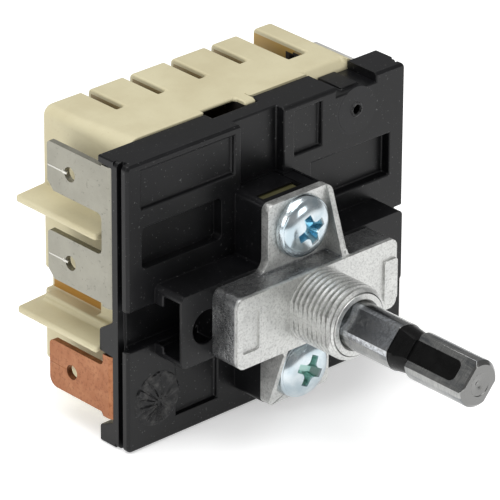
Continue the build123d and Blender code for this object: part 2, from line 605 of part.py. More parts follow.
def make_bracket():
    """Zinc die-casting: cross-bar, two screw ears with a side rib each, and the threaded bush."""
    bar = plate(window(BAR_LEFT, BAR_RIGHT, -BAR_HEIGHT / 2, BAR_HEIGHT / 2, BAR_CORNER_RADIUS), 0, BAR_DEPTH)
    ears = plate(
        window(-EAR_WIDTH / 2, EAR_WIDTH / 2, -EAR_REACH, EAR_REACH, EAR_CORNER_RADIUS), EAR_FRONT, BAR_DEPTH
    )
    bracket = bar + ears
    rib = Polyline(
        (RIB_ROOT_SETBACK, BAR_HEIGHT / 2 - 1),
        (RIB_ROOT_SETBACK, BAR_HEIGHT / 2),
        (EAR_FRONT - RIB_TIP_HEIGHT, EAR_REACH),
        (EAR_FRONT + OVERLAP, EAR_REACH),
        (EAR_FRONT + OVERLAP, BAR_HEIGHT / 2 - 1),
        close=True,
    )
    upper_rib = extrude(side_plane(EAR_WIDTH / 2 - RIB_THICKNESS) * make_face(rib), RIB_THICKNESS)
    upper_rib &= plate(
        window(-EAR_WIDTH / 2, EAR_WIDTH / 2, -EAR_REACH, EAR_REACH, EAR_CORNER_RADIUS), 0, BAR_DEPTH
    )
    rib_root = window(
        EAR_WIDTH / 2 - OVERLAP, EAR_WIDTH / 2 + RIB_ROOT_RADIUS, BAR_HEIGHT / 2 - 0.2, BAR_HEIGHT / 2 + RIB_ROOT_RADIUS
    )
    rib_root -= Pos(EAR_WIDTH / 2 + RIB_ROOT_RADIUS, BAR_HEIGHT / 2 + RIB_ROOT_RADIUS) * Circle(RIB_ROOT_RADIUS)
    upper_rib += plate(rib_root, RIB_ROOT_SETBACK, BAR_DEPTH)
    bracket += upper_rib
    bracket += Rot(0, 180, 0) * upper_rib
    for turn in (0, 180):
        corner = Rot(0, 0, turn) * (
            window(-EAR_WIDTH / 2 - ROOT_RADIUS, -EAR_WIDTH / 2 + 0.2, BAR_HEIGHT / 2 - 0.2, BAR_HEIGHT / 2 + ROOT_RADIUS)
            - Pos(-EAR_WIDTH / 2 - ROOT_RADIUS, BAR_HEIGHT / 2 + ROOT_RADIUS) * Circle(ROOT_RADIUS)
        )
        bracket += plate(corner, EAR_FRONT, BAR_DEPTH)
    bush = turned(
        [
            (0, OVERLAP),
            (BUSH_DIAMETER / 2 - BUSH_CHAMFER, OVERLAP),
            (BUSH_DIAMETER / 2 - BUSH_CHAMFER, 0),
            (BUSH_DIAMETER / 2, 0),
            (BUSH_DIAMETER / 2, -BUSH_LENGTH + BUSH_CHAMFER),
            (BUSH_DIAMETER / 2 - BUSH_CHAMFER, -BUSH_LENGTH),
            (0, -BUSH_LENGTH),
        ]
    )
    for side in (-1, 1):
        bush -= block(
            min(side * BUSH_FLATS / 2, side * 6), max(side * BUSH_FLATS / 2, side * 6), -BUSH_LENGTH - 1, 0, -6, 6
        )
    bracket += bush
    bracket -= plate(
        window(PAD_RECESS_LEFT, PAD_RECESS_RIGHT, PAD_RECESS_BOTTOM, PAD_RECESS_TOP, 0.4), -1, PAD_RECESS_DEPTH
    )
    bracket += plate(window(RAISED_PAD_LEFT, BAR_RIGHT - 0.1, RAISED_PAD_BOTTOM, RAISED_PAD_TOP, 0.4), -0.3, 1)
    bracket -= rod(0, 0, SHAFT_DIAMETER + 2 * SHAFT_RUNNING_CLEARANCE, -BUSH_LENGTH - 1, BAR_DEPTH + 1)
    for z in (SCREW_SPACING / 2, -SCREW_SPACING / 2):
        bracket -= rod(0, z, SCREW_HOLE_DIAMETER, EAR_FRONT - 1, BAR_DEPTH + 1)
    return bracket


def make_screw(z, turn):
    """Pan-head screw with a cross recess."""
    radius = SCREW_HEAD_DIAMETER / 2
    crown = EAR_FRONT - SCREW_HEAD_HEIGHT
    head = turned(
        [
            (0, EAR_FRONT),
            (radius, EAR_FRONT),
            (radius, crown + 0.5 * SCREW_HEAD_HEIGHT),
            (0.6 * radius, crown),
            (0, crown),
        ]
    )
    shank = rod(0, 0, SCREW_SHANK_DIAMETER, EAR_FRONT - OVERLAP, EAR_FRONT + SCREW_LENGTH)
    cross = Rectangle(RECESS_SPAN, RECESS_WING) + Rectangle(RECESS_WING, RECESS_SPAN)
    recess = plate(Rot(0, 0, turn) * cross, crown - 1, crown + RECESS_DEPTH)
    return Pos(0, 0, z) * (head + shank - recess)


def make_shaft():
    """Turned steel shaft with flats for the knob, a neck for the clip, and a cam seat."""
    full = SHAFT_DIAMETER / 2
    neck = NECK_DIAMETER / 2
    ring = RING_GROOVE_DIAMETER / 2
    journal = REAR_JOURNAL_DIAMETER / 2
    shaft = turned(
        [
            (0, -SHAFT_REACH),
            (full - SHAFT_TIP_CHAMFER, -SHAFT_REACH),
            (full, -SHAFT_REACH + SHAFT_TIP_CHAMFER),
            (full, -NECK_END),
            (neck, -NECK_END),
            (neck, -NECK_START),
            (full, -NECK_START),
            (full, RING_FRONT),
            (ring, RING_FRONT),
            (ring, RING_FRONT + RING_THICKNESS),
            (full, RING_FRONT + RING_THICKNESS),
            (full, CAM_SEAT_END),
            (journal, CAM_SEAT_END),
            (journal, REAR_JOURNAL_END),
            (0, REAR_JOURNAL_END),
        ]
    )
    for side in (0, 180):
        shaft -= beyond_flat(TIP_FLATS / 2, -SHAFT_REACH - 1, -NECK_END, side)
        shaft -= beyond_flat(ROOT_FLATS / 2, -NECK_START, -ROOT_FLATS_START, side)
        shaft -= beyond_flat(CAM_SEAT_FLATS / 2, CAM_SEAT_START, CAM_SEAT_END, side)
    shaft -= clip_tongue(TIP_FLATS / 2 + 1)
    return shaft


def clip_tongue(outer):
    """Strip along the upper-left flat, from below its surface out to a distance from the axis."""
    inner = TIP_FLATS / 2 - CLIP_TONGUE_DEPTH
    section = Rot(0, 0, SHAFT_FLATS_ANGLE) * Pos((inner + outer) / 2, 0) * Rectangle(outer - inner, CLIP_TONGUE_WIDTH)
    return plate(section, -CLIP_TONGUE_END, -NECK_END)


def make_shaft_clip():
    """Black spring clip of the knob: collar in the neck and a tongue along one flat."""
    neck = NECK_DIAMETER / 2
    back = CLIP_BACK_DIAMETER / 2
    front = CLIP_FRONT_DIAMETER / 2
    collar = turned([(neck, -NECK_START), (back, -NECK_START), (front, -NECK_END), (neck, -NECK_END)])
    tongue = clip_tongue(TIP_FLATS / 2 + CLIP_TONGUE_PROUD)
    root = Rot(0, 0, SHAFT_FLATS_ANGLE) * Pos((neck + front) / 2, 0) * Rectangle(front - neck, CLIP_TONGUE_WIDTH)
    collar += plate(root, -NECK_END, -NECK_END + 0.5)
    return collar + tongue


def make_retaining_ring():
    """Spring ring in the shaft groove, open on one side."""
    back = RING_FRONT + RING_THICKNESS
    ring = rod(0, 0, RING_DIAMETER, RING_FRONT, back) - rod(0, 0, RING_GROOVE_DIAMETER, RING_FRONT - 1, back + 1)
    mouth = window(-RING_GROOVE_DIAMETER / 2 + 0.3, RING_GROOVE_DIAMETER / 2 - 0.3, -RING_DIAMETER, 0)
    return ring - plate(mouth, RING_FRONT - 1, back + 1)


def terminal_section(outer, inner_end, step, low, high):
    """Web beside the tabs and the leg bent inwards, seen from above, between two heights."""
    web_back = LEG_FRONT + WEB_WIDTH
    outline = make_face(
        Polyline(
            (outer, LEG_FRONT),
            (inner_end, LEG_FRONT),
            (inner_end, LEG_FRONT + SHEET),
            (outer + step * SHEET, LEG_FRONT + SHEET),
            (outer + step * SHEET, web_back),
            (outer, web_back),
            close=True,
        )
    )
    bend = outline.vertices().sort_by_distance((outer, LEG_FRONT, 0))[0]
    outline = fillet(bend, LEG_BEND_RADIUS)
    inside = outline.vertices().sort_by_distance((outer + step * SHEET, LEG_FRONT + SHEET, 0))[0]
    outline = fillet(inside, 0.3)
    return Pos(0, 0, low) * extrude(outline, high - low)


def tab(outer, step, top, rounded=False):
    """One 6.3 mm push-on tab pointing backwards, its outer face at x outer."""
    front = LEG_FRONT + WEB_WIDTH - OVERLAP
    bottom = top - TAB_WIDTH
    outline = make_face(Polyline((front, bottom), (TAB_END, bottom), (TAB_END, top), (front, top), close=True))
    shape = fillet if rounded else chamfer
    upper = COPPER_UPPER_RADIUS if rounded else TAB_UPPER_CHAMFER
    lower = COPPER_LOWER_RADIUS if rounded else TAB_LOWER_CHAMFER
    outline = shape(outline.vertices().sort_by_distance((TAB_END, top, 0))[0], upper)
    outline = shape(outline.vertices().sort_by_distance((TAB_END, bottom, 0))[0], lower)
    outline -= Pos(TAB_END - TAB_HOLE_FROM_END, top - TAB_WIDTH / 2) * Circle(TAB_HOLE_DIAMETER / 2)
    return extrude(side_plane(min(outer, outer + step * SHEET)) * outline, SHEET)


def blade_post(level, low, high):
    """Leg through the left wall and the upright inside it, slotted for the end of a blade."""
    right = POST_X + SHEET / 2
    left = POST_X - SHEET / 2
    post = block(HOUSING_LEFT - OVERLAP, right, LEG_FRONT, LEG_FRONT + SHEET, low, high)
    post += block(left, right, LEG_FRONT, POST_BACK, low, high)
    gap = BLADE_SLOT_CLEARANCE
    front = BLADE_FRONT - gap
    back = BLADE_FRONT + BLADE_WIDTH + gap
    post -= block(left - 1, right + 1, front, back, level - gap, level + BLADE_THICKNESS + gap)
    return post - rod(POST_X, level + BLADE_THICKNESS / 2, KNUCKLE_DIAMETER + 2 * gap, front, back)


def contact(low):
    """Contact disc brazed on at the blade tips, from height low upwards."""
    return peg(CONTACT_X, BLADE_FRONT + BLADE_WIDTH / 2, CONTACT_DIAMETER, low, low + CONTACT_THICKNESS)


def make_terminal_left_double():
    """Plated terminal with two tabs; its upright carries the snap blade."""
    low = TAB_MIDDLE - TAB_WIDTH - 0.4
    terminal = terminal_section(LEFT, HOUSING_LEFT - 0.05, 1, low, TAB_TOP + 0.2)
    terminal += tab(LEFT, 1, TAB_TOP) + tab(LEFT, 1, TAB_MIDDLE)
    return terminal + blade_post(SNAP_LEVEL, *LEG_SPANS_LEFT[0])


def make_terminal_left_copper():
    """Copper terminal with one tab; its upright carries the isolator blade."""
    terminal = terminal_section(LEFT, HOUSING_LEFT - 0.05, 1, TAB_BOTTOM - TAB_WIDTH - 0.5, TAB_BOTTOM + 1.6)
    terminal += tab(LEFT, 1, TAB_BOTTOM, True)
    return terminal + blade_post(ISOLATOR_LEVEL, *LEG_SPANS_LEFT[1])


def contact_shelf(low, high, shelf_top):
    """Leg through the right wall and the shelf inside it that carries a fixed contact."""
    shelf = block(SHELF_START, HOUSING_RIGHT + OVERLAP, LEG_FRONT, LEG_FRONT + SHEET, low, high)
    shelf += block(SHELF_START, SHELF_END, LEG_FRONT, SHELF_BACK, shelf_top - SHEET, shelf_top)
    return shelf


def make_terminal_right_upper():
    """Plated terminal whose shelf carries the fixed snap contact."""
    low, high = LEG_SPANS_RIGHT[0]
    terminal = terminal_section(RIGHT_TAB_X, HOUSING_RIGHT + 0.05, -1, low, TAB_TOP + 0.2)
    terminal += tab(RIGHT_TAB_X, -1, TAB_TOP)
    return terminal + contact_shelf(low, high, SNAP_FIXED_TOP)


def make_terminal_right_lower():
    """Plated terminal whose shelf carries the fixed isolator contact."""
    low, high = LEG_SPANS_RIGHT[1]
    terminal = terminal_section(RIGHT_TAB_X, HOUSING_RIGHT + 0.05, -1, TAB_BOTTOM - TAB_WIDTH - 0.1, high)
    terminal += tab(RIGHT_TAB_X, -1, TAB_BOTTOM)
    return terminal + contact_shelf(low, high, ISOLATOR_FIXED_TOP)


def make_blade(level):
    """Springy contact blade lying across the cavity, its rolled knuckle in the slot of a post."""
    back = BLADE_FRONT + BLADE_WIDTH
    blade = block(BLADE_LEFT_END, BLADE_RIGHT_END, BLADE_FRONT, back, level, level + BLADE_THICKNESS)
    return blade + rod(POST_X, level + BLADE_THICKNESS / 2, KNUCKLE_DIAMETER, BLADE_FRONT, back)


def cam_radius(angle):
    """Radius of the control cam at an angle of shaft turn, from the lift of the follower nose."""
    lift_angle = FOLLOWER_SWING * min(angle, TURN) / TURN
    reach_x = -PIVOT_X
    reach_z = NOSE_START - PIVOT_Z
    x = PIVOT_X + reach_x * cos(radians(lift_angle)) + reach_z * sin(radians(lift_angle))
    z = PIVOT_Z - reach_x * sin(radians(lift_angle)) + reach_z * cos(radians(lift_angle))
    return hypot(x, z) - NOSE_RADIUS - NOSE_CLEARANCE, degrees(atan2(x, z))


def cam_points():
    """Points of the control cam's outline in the plane across the shaft."""
    points = []
    for step in range(int(TURN / CAM_POINT_STEP) + 1):
        angle = step * CAM_POINT_STEP
        radius, lean = cam_radius(angle)
        points.append((radius, lean - angle))
    high, high_lean = cam_radius(TURN)
    low, low_lean = cam_radius(0)
    start = 360 - TURN - (360 - TURN - CAM_DWELL - CAM_RAMP)
    for share in (0.0, 0.25, 0.5, 0.75, 1.0):
        eased = 0.5 + 0.5 * cos(pi * share)
        radius = low + (high - low) * eased
        points.append((radius, start - CAM_RAMP * share))
    points.append((low, CAM_DWELL / 2))
    return [(r * sin(radians(a)), r * cos(radians(a))) for r, a in points]


def make_cam():
    """Moulded cam on the shaft: control spiral at the front, notched isolator disc behind."""
    cam = rod(0, 0, CAM_HUB_DIAMETER, CAM_SEAT_START, CAM_SEAT_END)
    outline = make_face(Polyline(cam_points(), close=True))
    cam += plate(outline, CAM_FRONT, CAM_FRONT + CAM_WIDTH)
    disc = Circle(ISOLATOR_CAM_RADIUS)
    half = ISOLATOR_NOTCH_HALF_ANGLE
    far = ISOLATOR_CAM_RADIUS * 1.4
    wedge = Polyline(
        (0, 0),
        (-far * sin(radians(half)), -far * cos(radians(half))),
        (far * sin(radians(half)), -far * cos(radians(half))),
        close=True,
    )
    disc -= make_face(wedge) - Circle(ISOLATOR_NOTCH_RADIUS)
    cam += plate(disc, ISOLATOR_CAM_FRONT, ISOLATOR_CAM_FRONT + ISOLATOR_CAM_WIDTH)
    gap = CAM_SEAT_CLEARANCE
    seat = rod(0, 0, SHAFT_DIAMETER + 2 * gap, CAM_SEAT_START - 1, CAM_SEAT_END + 1)
    for side in (0, 180):
        seat -= beyond_flat(CAM_SEAT_FLATS / 2 + gap, CAM_SEAT_START - 1, CAM_SEAT_END + 1, side)
    return cam - seat


def make_follower():
    """Lever that rides on the control cam and lifts the bimetal strip."""
    back = FOLLOWER_FRONT + FOLLOWER_WIDTH
    lever = rod(PIVOT_X, PIVOT_Z, FOLLOWER_BOSS_DIAMETER, FOLLOWER_FRONT, back)
    half = FOLLOWER_ARM_THICKNESS / 2
    arm = make_face(
        Polyline(
            (PIVOT_X, PIVOT_Z - half),
            (PIVOT_X, PIVOT_Z + half),
            (-half, FOLLOWER_ARM_END + half),
            (-half, FOLLOWER_ARM_END - half),
            close=True,
        )
    )
    lever += plate(arm, FOLLOWER_FRONT, back)
    lever += rod(0, NOSE_START, 2 * NOSE_RADIUS, FOLLOWER_FRONT, back)
    lever += plate(
        window(-NOSE_RADIUS + 0.1, NOSE_RADIUS - 0.1, NOSE_START, FOLLOWER_ARM_END), FOLLOWER_FRONT, back
    )
    return lever - rod(PIVOT_X, PIVOT_Z, PIVOT_PIN_DIAMETER + 2 * PIVOT_CLEARANCE, FOLLOWER_FRONT - 1, back + 1)


def make_pivot_pin():
    """Headed pin of the follower, pressed into the base."""
    head_front = FOLLOWER_FRONT + FOLLOWER_WIDTH + 0.1
    pin = rod(PIVOT_X, PIVOT_Z, PIVOT_PIN_DIAMETER, PIVOT_PIN_FRONT, head_front + 0.1)
    return pin + rod(PIVOT_X, PIVOT_Z, PIVOT_HEAD_DIAMETER, head_front, head_front + 0.7)


def make_bimetal_strip():
    """Bimetal strip from its anchor on the right to its free end under the snap blade."""
    back = BIMETAL_FRONT + BIMETAL_WIDTH
    strip = block(
        BIMETAL_FREE_END,
        BIMETAL_FIXED_END,
        BIMETAL_FRONT,
        back,
        BIMETAL_LEVEL,
        BIMETAL_LEVEL + BIMETAL_THICKNESS,
    )
    middle = (BIMETAL_FRONT + back) / 2
    strip -= peg(ANCHOR_RIVET_X, middle, ANCHOR_RIVET_DIAMETER, BIMETAL_LEVEL - 1, BIMETAL_LEVEL + 2)
    return strip - peg(PUSHER_X, middle, PUSHER_STEM_DIAMETER, BIMETAL_LEVEL - 1, BIMETAL_LEVEL + 2)


def make_pusher():
    """Insulating button on the free end of the bimetal, just below the snap blade."""
    middle = BIMETAL_FRONT + BIMETAL_WIDTH / 2
    top = BIMETAL_LEVEL + BIMETAL_THICKNESS
    button = peg(PUSHER_X, middle, PUSHER_DIAMETER, top, SNAP_LEVEL - PUSHER_GAP)
    return button + peg(PUSHER_X, middle, PUSHER_STEM_DIAMETER, BIMETAL_LEVEL, top + 0.1)


def make_heater():
    """Heater sleeve around the bimetal: insulating card with flat winding turns."""
    inner = window(BIMETAL_FRONT, BIMETAL_FRONT + BIMETAL_WIDTH, BIMETAL_LEVEL, BIMETAL_LEVEL + BIMETAL_THICKNESS)
    wall = HEATER_WALL
    sleeve = window(
        BIMETAL_FRONT - wall,
        BIMETAL_FRONT + BIMETAL_WIDTH + wall,
        BIMETAL_LEVEL - wall,
        BIMETAL_LEVEL + BIMETAL_THICKNESS + wall,
    )
    turn_height = HEATER_TAPE_HEIGHT
    tape = window(
        BIMETAL_FRONT - wall - turn_height,
        BIMETAL_FRONT + BIMETAL_WIDTH + wall + turn_height,
        BIMETAL_LEVEL - wall - turn_height,
        BIMETAL_LEVEL + BIMETAL_THICKNESS + wall + turn_height,
    )
    heater = extrude(side_plane(HEATER_START) * (sleeve - inner), HEATER_END - HEATER_START)
    pitch = (HEATER_END - HEATER_START - HEATER_TAPE) / HEATER_TURNS
    for number in range(HEATER_TURNS):
        x = HEATER_START + pitch * (number + 0.5)
        heater += extrude(side_plane(x) * (tape - inner), HEATER_TAPE)
    return heater


def make_bimetal_anchor():
    """Angle on the fixed end of the bimetal; the calibration screw bears on its upright."""
    foot_bottom = BIMETAL_LEVEL + BIMETAL_THICKNESS
    plate_back = ANCHOR_PLATE_FRONT + SHEET
    anchor = block(ANCHOR_LEFT, CAVITY_RIGHT, BIMETAL_FRONT, plate_back, foot_bottom, foot_bottom + SHEET)
    anchor += block(ANCHOR_LEFT, CAVITY_RIGHT, ANCHOR_PLATE_FRONT, plate_back, foot_bottom, ANCHOR_TOP)
    middle = BIMETAL_FRONT + BIMETAL_WIDTH / 2
    return anchor - peg(ANCHOR_RIVET_X, middle, ANCHOR_RIVET_DIAMETER, foot_bottom - 1, foot_bottom + 2)


def make_anchor_rivet():
    """Rivet through the bimetal and its anchor."""
    middle = BIMETAL_FRONT + BIMETAL_WIDTH / 2
    bottom = BIMETAL_LEVEL
    top = BIMETAL_LEVEL + BIMETAL_THICKNESS + SHEET
    rivet = peg(ANCHOR_RIVET_X, middle, ANCHOR_RIVET_DIAMETER, bottom - 0.1, top + 0.1)
    rivet += peg(ANCHOR_RIVET_X, middle, ANCHOR_RIVET_DIAMETER + 0.9, bottom - 0.4, bottom)
    return rivet + peg(ANCHOR_RIVET_X, middle, ANCHOR_RIVET_DIAMETER + 0.9, top, top + 0.4)


def make_calibration_screw():
    """Headless set screw behind the access hole, with a driver slot."""
    screw = rod(CALIBRATION_X, CALIBRATION_Z, CALIBRATION_DIAMETER, CALIBRATION_FRONT, ANCHOR_PLATE_FRONT)
    slot = window(
        CALIBRATION_X - 2, CALIBRATION_X + 2, CALIBRATION_Z - 0.25, CALIBRATION_Z + 0.25
    )
    return screw - plate(slot, CALIBRATION_FRONT - 1, CALIBRATION_FRONT + 0.7)


def parts():
    """Every piece by name, in place."""
    return {
        "front_base": make_front_base(),
        "rear_housing": make_rear_housing(),
        "mounting_bracket": make_bracket(),
        "bracket_screw_upper": make_screw(SCREW_SPACING / 2, UPPER_RECESS_TURN),
        "bracket_screw_lower": make_screw(-SCREW_SPACING / 2, LOWER_RECESS_TURN),
        "shaft": make_shaft(),
        "shaft_clip": make_shaft_clip(),
        "shaft_retaining_ring": make_retaining_ring(),
        "cam": make_cam(),
        "follower_lever": make_follower(),
        "follower_pivot_pin": make_pivot_pin(),
        "bimetal_strip": make_bimetal_strip(),
        "bimetal_heater": make_heater(),
        "bimetal_anchor": make_bimetal_anchor(),
        "bimetal_rivet": make_anchor_rivet(),
        "bimetal_pusher": make_pusher(),
        "calibration_screw": make_calibration_screw(),
        "terminal_left_double": make_terminal_left_double(),
        "terminal_left_copper": make_terminal_left_copper(),
        "terminal_right_upper": make_terminal_right_upper(),
        "terminal_right_lower": make_terminal_right_lower(),
        "snap_blade": make_blade(SNAP_LEVEL),
        "snap_moving_contact": contact(SNAP_LEVEL - CONTACT_THICKNESS),
        "snap_fixed_contact": contact(SNAP_FIXED_TOP),
        "isolator_blade": make_blade(ISOLATOR_LEVEL),
        "isolator_moving_contact": contact(ISOLATOR_LEVEL - CONTACT_THICKNESS),
        "isolator_fixed_contact": contact(ISOLATOR_FIXED_TOP),
    }


if __name__ == "__main__":
    os.makedirs("parts", exist_ok=True)
    for name, shape in parts().items():
        solids = shape.solids()
        if len(solids) != 1:
            raise ValueError(f"{name} has {len(solids)} solids")
        export_step(solids[0], f"parts/{name}.step")
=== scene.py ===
"""Looks of a cooker's energy regulator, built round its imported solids.

Metres, Z up. The shaft points along -Y and the origin is on its axis, in the plane of the
bracket's face that seats against the panel.
"""

from __future__ import annotations

import logging
import math
from contextlib import contextmanager
from dataclasses import dataclass
from enum import Enum
from typing import Callable, Iterator, Sequence, Union

import bpy
import bmesh
from mathutils import Euler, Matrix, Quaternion, Vector
from mathutils.geometry import intersect_point_line

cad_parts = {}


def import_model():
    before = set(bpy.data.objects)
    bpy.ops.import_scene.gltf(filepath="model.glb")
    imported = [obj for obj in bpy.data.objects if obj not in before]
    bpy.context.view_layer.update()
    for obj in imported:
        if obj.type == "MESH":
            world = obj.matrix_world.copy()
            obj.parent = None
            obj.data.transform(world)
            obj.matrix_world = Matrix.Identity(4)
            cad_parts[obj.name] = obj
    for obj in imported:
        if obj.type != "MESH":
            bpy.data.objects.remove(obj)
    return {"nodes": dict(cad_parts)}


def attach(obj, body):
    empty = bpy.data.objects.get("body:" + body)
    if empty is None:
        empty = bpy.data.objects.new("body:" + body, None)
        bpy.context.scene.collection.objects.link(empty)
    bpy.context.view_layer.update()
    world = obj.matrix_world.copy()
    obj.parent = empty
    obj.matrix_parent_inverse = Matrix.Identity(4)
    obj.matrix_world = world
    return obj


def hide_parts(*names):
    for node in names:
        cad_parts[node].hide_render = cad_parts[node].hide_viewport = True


LOG = logging.getLogger("energy_regulator")
Number = Union[int, float]
Triple = tuple[float, float, float]
Pair = tuple[float, float]
Piece = bpy.types.Object
Edge = bmesh.types.BMEdge

# Places on the case, in millimetres: X and Z of the gate mark and of the adjusting hole, how
# high the tabs at the left end, and how wide they are.
GATE_MARK: Pair = (-17.5, -10.2)
ADJUSTER: Pair = (14.93, 17.94)
TAB_TOPS: Triple = (20.4, 8.7, -6.0)
TAB_WIDTH = 6.3
# Where one of the shaft's flats faces, in degrees from X towards Z.
FLATS_LEAN = 139.0


def mm(value: Number) -> float:
    """Millimetres as metres."""
    return value * 0.001


def mm3(x: Number, y: Number, z: Number) -> Vector:
    """A point given in millimetres as a vector in metres."""
    return Vector((mm(x), mm(y), mm(z)))


class Body(Enum):
    """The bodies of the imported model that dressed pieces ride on."""

    CASE = "regulator_body"
    SHAFT = "shaft_and_cam"


class Bench:
    """Modelling moves made with operators, as by hand."""

    MERGE = 1e-6  # in metres
    # For `soften`: angles between faces or edges, and shares of the room beside an edge.
    SHARP, STRAIGHT, CURVED, CHAINED = (math.radians(angle) for angle in (33, 1, 50, 60))
    SLANT_ROOM, SIDE_ROOM, CURVE_ROOM, EVEN = 0.8, 0.45, 0.5, 0.999

    @staticmethod
    def nothing_selected() -> None:
        """Deselect every object, the loaded solids among them."""
        if bpy.context.mode != "OBJECT":
            bpy.ops.object.mode_set(mode="OBJECT")
        bpy.ops.object.select_all(action="DESELECT")

    @classmethod
    def take(cls, piece: Piece) -> None:
        """Make one object the only selected and the active one.

        Args:
            piece: the object to work on.
        """
        cls.nothing_selected()
        piece.select_set(True)
        bpy.context.view_layer.objects.active = piece

    @classmethod
    @contextmanager
    def editing(cls, piece: Piece, mode: str = "VERT") -> Iterator[None]:
        """Edit mode on one piece, left again at the end.

        Args:
            piece: the object to edit.
            mode: VERT or EDGE, what is selected.

        Yields:
            Nothing, once the piece is open.
        """
        cls.take(piece)
        bpy.ops.object.mode_set(mode="EDIT")
        bpy.ops.mesh.select_mode(type=mode)
        bpy.ops.mesh.select_all(action="DESELECT")
        yield
        bpy.ops.object.mode_set(mode="OBJECT")

    @staticmethod
    def pick_vertices(piece: Piece, test: Callable[[Vector], bool]) -> None:
        """Select the vertices whose place passes a test, in edit mode.

        Args:
            piece: the object in edit mode.
            test: says whether a vertex at a place is taken.
        """
        mesh = bmesh.from_edit_mesh(piece.data)
        for vertex in mesh.verts:
            vertex.select_set(test(vertex.co))
        mesh.select_flush_mode()
        bmesh.update_edit_mesh(piece.data)

    @classmethod
    def round_edges(cls, piece: Piece, radius: float, test: Callable[[Edge], bool]) -> None:
        """Round the edges that pass a test.

        Args:
            piece: the object.
            radius: how far they are rounded, in millimetres.
            test: says whether an edge is taken.
        """
        with cls.editing(piece, "EDGE"):
            mesh = bmesh.from_edit_mesh(piece.data)
            for edge in mesh.edges:
                edge.select_set(test(edge))
            bmesh.update_edit_mesh(piece.data)
            bpy.ops.mesh.bevel(offset=mm(radius), segments=5, clamp_overlap=True)

    @classmethod
    def settle(cls, piece: Piece) -> None:
        """Put a piece's place, turn and scale into its mesh."""
        cls.take(piece)
        bpy.ops.object.transform_apply(location=True, rotation=True, scale=True)

    @staticmethod
    def close_up() -> None:
        """Merge doubles of the whole mesh in edit mode and turn its faces outwards."""
        bpy.ops.mesh.select_all(action="SELECT")
        bpy.ops.mesh.remove_doubles(threshold=Bench.MERGE)
        bpy.ops.mesh.normals_make_consistent(inside=False)

    @staticmethod
    def lean(place: Vector) -> float:
        """Angle of a place about the Y axis, in degrees from X."""
        return math.degrees(math.atan2(place.z, place.x))

    @classmethod
    def finish(cls, piece: Piece, angle: float = 30.0) -> None:
        """Put the place of a piece into its mesh and shade it smooth up to an angle.

        Args:
            piece: the object to finish.
            angle: edges flatter than this are smooth, in degrees.
        """
        cls.settle(piece)
        bpy.ops.object.shade_smooth_by_angle(angle=math.radians(angle))
        cls.modify(piece, "flat faces", "WEIGHTED_NORMAL", keep_sharp=True)

    @classmethod
    def copy_of(cls, node: str, name: str) -> Piece:
        """A clean copy of a solid: merged, with its flat faces made whole.

        Args:
            node: the solid's node.
            name: the copy's name.

        Returns:
            The copy.
        """
        source = FRAME["nodes"][node]
        mesh = source.data.copy()
        mesh.transform(source.matrix_world)
        mesh.materials.clear()
        piece = bpy.data.objects.new(name, mesh)
        bpy.context.scene.collection.objects.link(piece)
        if mesh.has_custom_normals:
            cls.take(piece)
            bpy.ops.mesh.customdata_custom_splitnormals_clear()
        cls.tidy(piece)
        return piece

    @classmethod
    def tidy(cls, piece: Piece) -> None:
        """Merge the vertices of a piece and make its flat faces whole.

        Args:
            piece: the object.
        """
        with cls.editing(piece):
            bpy.ops.mesh.select_all(action="SELECT")
            bpy.ops.mesh.remove_doubles(threshold=cls.MERGE)
            bpy.ops.mesh.dissolve_limited(angle_limit=math.radians(0.6))

    @classmethod
    def soften(
        cls,
        piece: Piece,
        width: float,
        segments: int = 3,
        share: Callable[[Vector], float] | None = None,
    ) -> None:
        """Round the sharp edges of a piece, and less where a feature is too small for it.

        Args:
            piece: the object.
            width: the widest bevel, in millimetres.
            segments: steps across a bevel.
            share: share of the width at a place in millimetres, 0 to leave an edge alone.
        """
        mesh = bmesh.new()
        mesh.from_mesh(piece.data)
        weight = mesh.edges.layers.float.new("bevel_weight_edge")
        rooms: dict[Edge, float] = {}
        for edge in mesh.edges:
            if len(edge.link_faces) == 2 and edge.calc_face_angle(0.0) > cls.SHARP:
                middle = (edge.verts[0].co + edge.verts[1].co) * 500
                part = share(middle) if share else 1.0
                if part > 0:
                    rooms[edge] = mm(width) * part
        for edge in rooms:
            for loop in edge.link_loops:
                for near in (loop.link_loop_prev.edge, loop.link_loop_next.edge):
                    turn, room = cls.turn_between(edge, near), rooms[edge]
                    if near not in rooms:
                        room = cls.SLANT_ROOM * near.calc_length() * math.sin(turn)
                    elif turn > cls.CURVED:
                        room = cls.SIDE_ROOM * near.calc_length()
                    elif turn > cls.STRAIGHT:
                        room = cls.CURVE_ROOM * near.calc_length() / turn
                    rooms[edge] = min(rooms[edge], room)
        for face in mesh.faces:
            sharp = [edge for edge in face.edges if edge in rooms]
            for edge in sharp:
                for other in sharp:
                    if other is not edge and not set(edge.verts) & set(other.verts):
                        gap = min(cls.distance(v.co, other) for v in edge.verts)
                        gap = min(gap, *[cls.distance(v.co, edge) for v in other.verts])
                        rooms[edge] = min(rooms[edge], cls.SIDE_ROOM * gap)
        changed = True
        while changed:
            changed = False
            for edge in rooms:
                for vertex in edge.verts:
                    for near in vertex.link_edges:
                        if near in rooms and rooms[near] < rooms[edge] * cls.EVEN:
                            if cls.STRAIGHT < cls.turn_between(edge, near) < cls.CHAINED:
                                rooms[edge] = rooms[near]
                                changed = True
        for edge, room in rooms.items():
            edge[weight] = room / mm(width)
        mesh.to_mesh(piece.data)
        mesh.free()
        settings = {"width": mm(width), "segments": segments, "limit_method": "WEIGHT"}
        cls.modify(piece, "edges", "BEVEL", use_clamp_overlap=False, **settings)

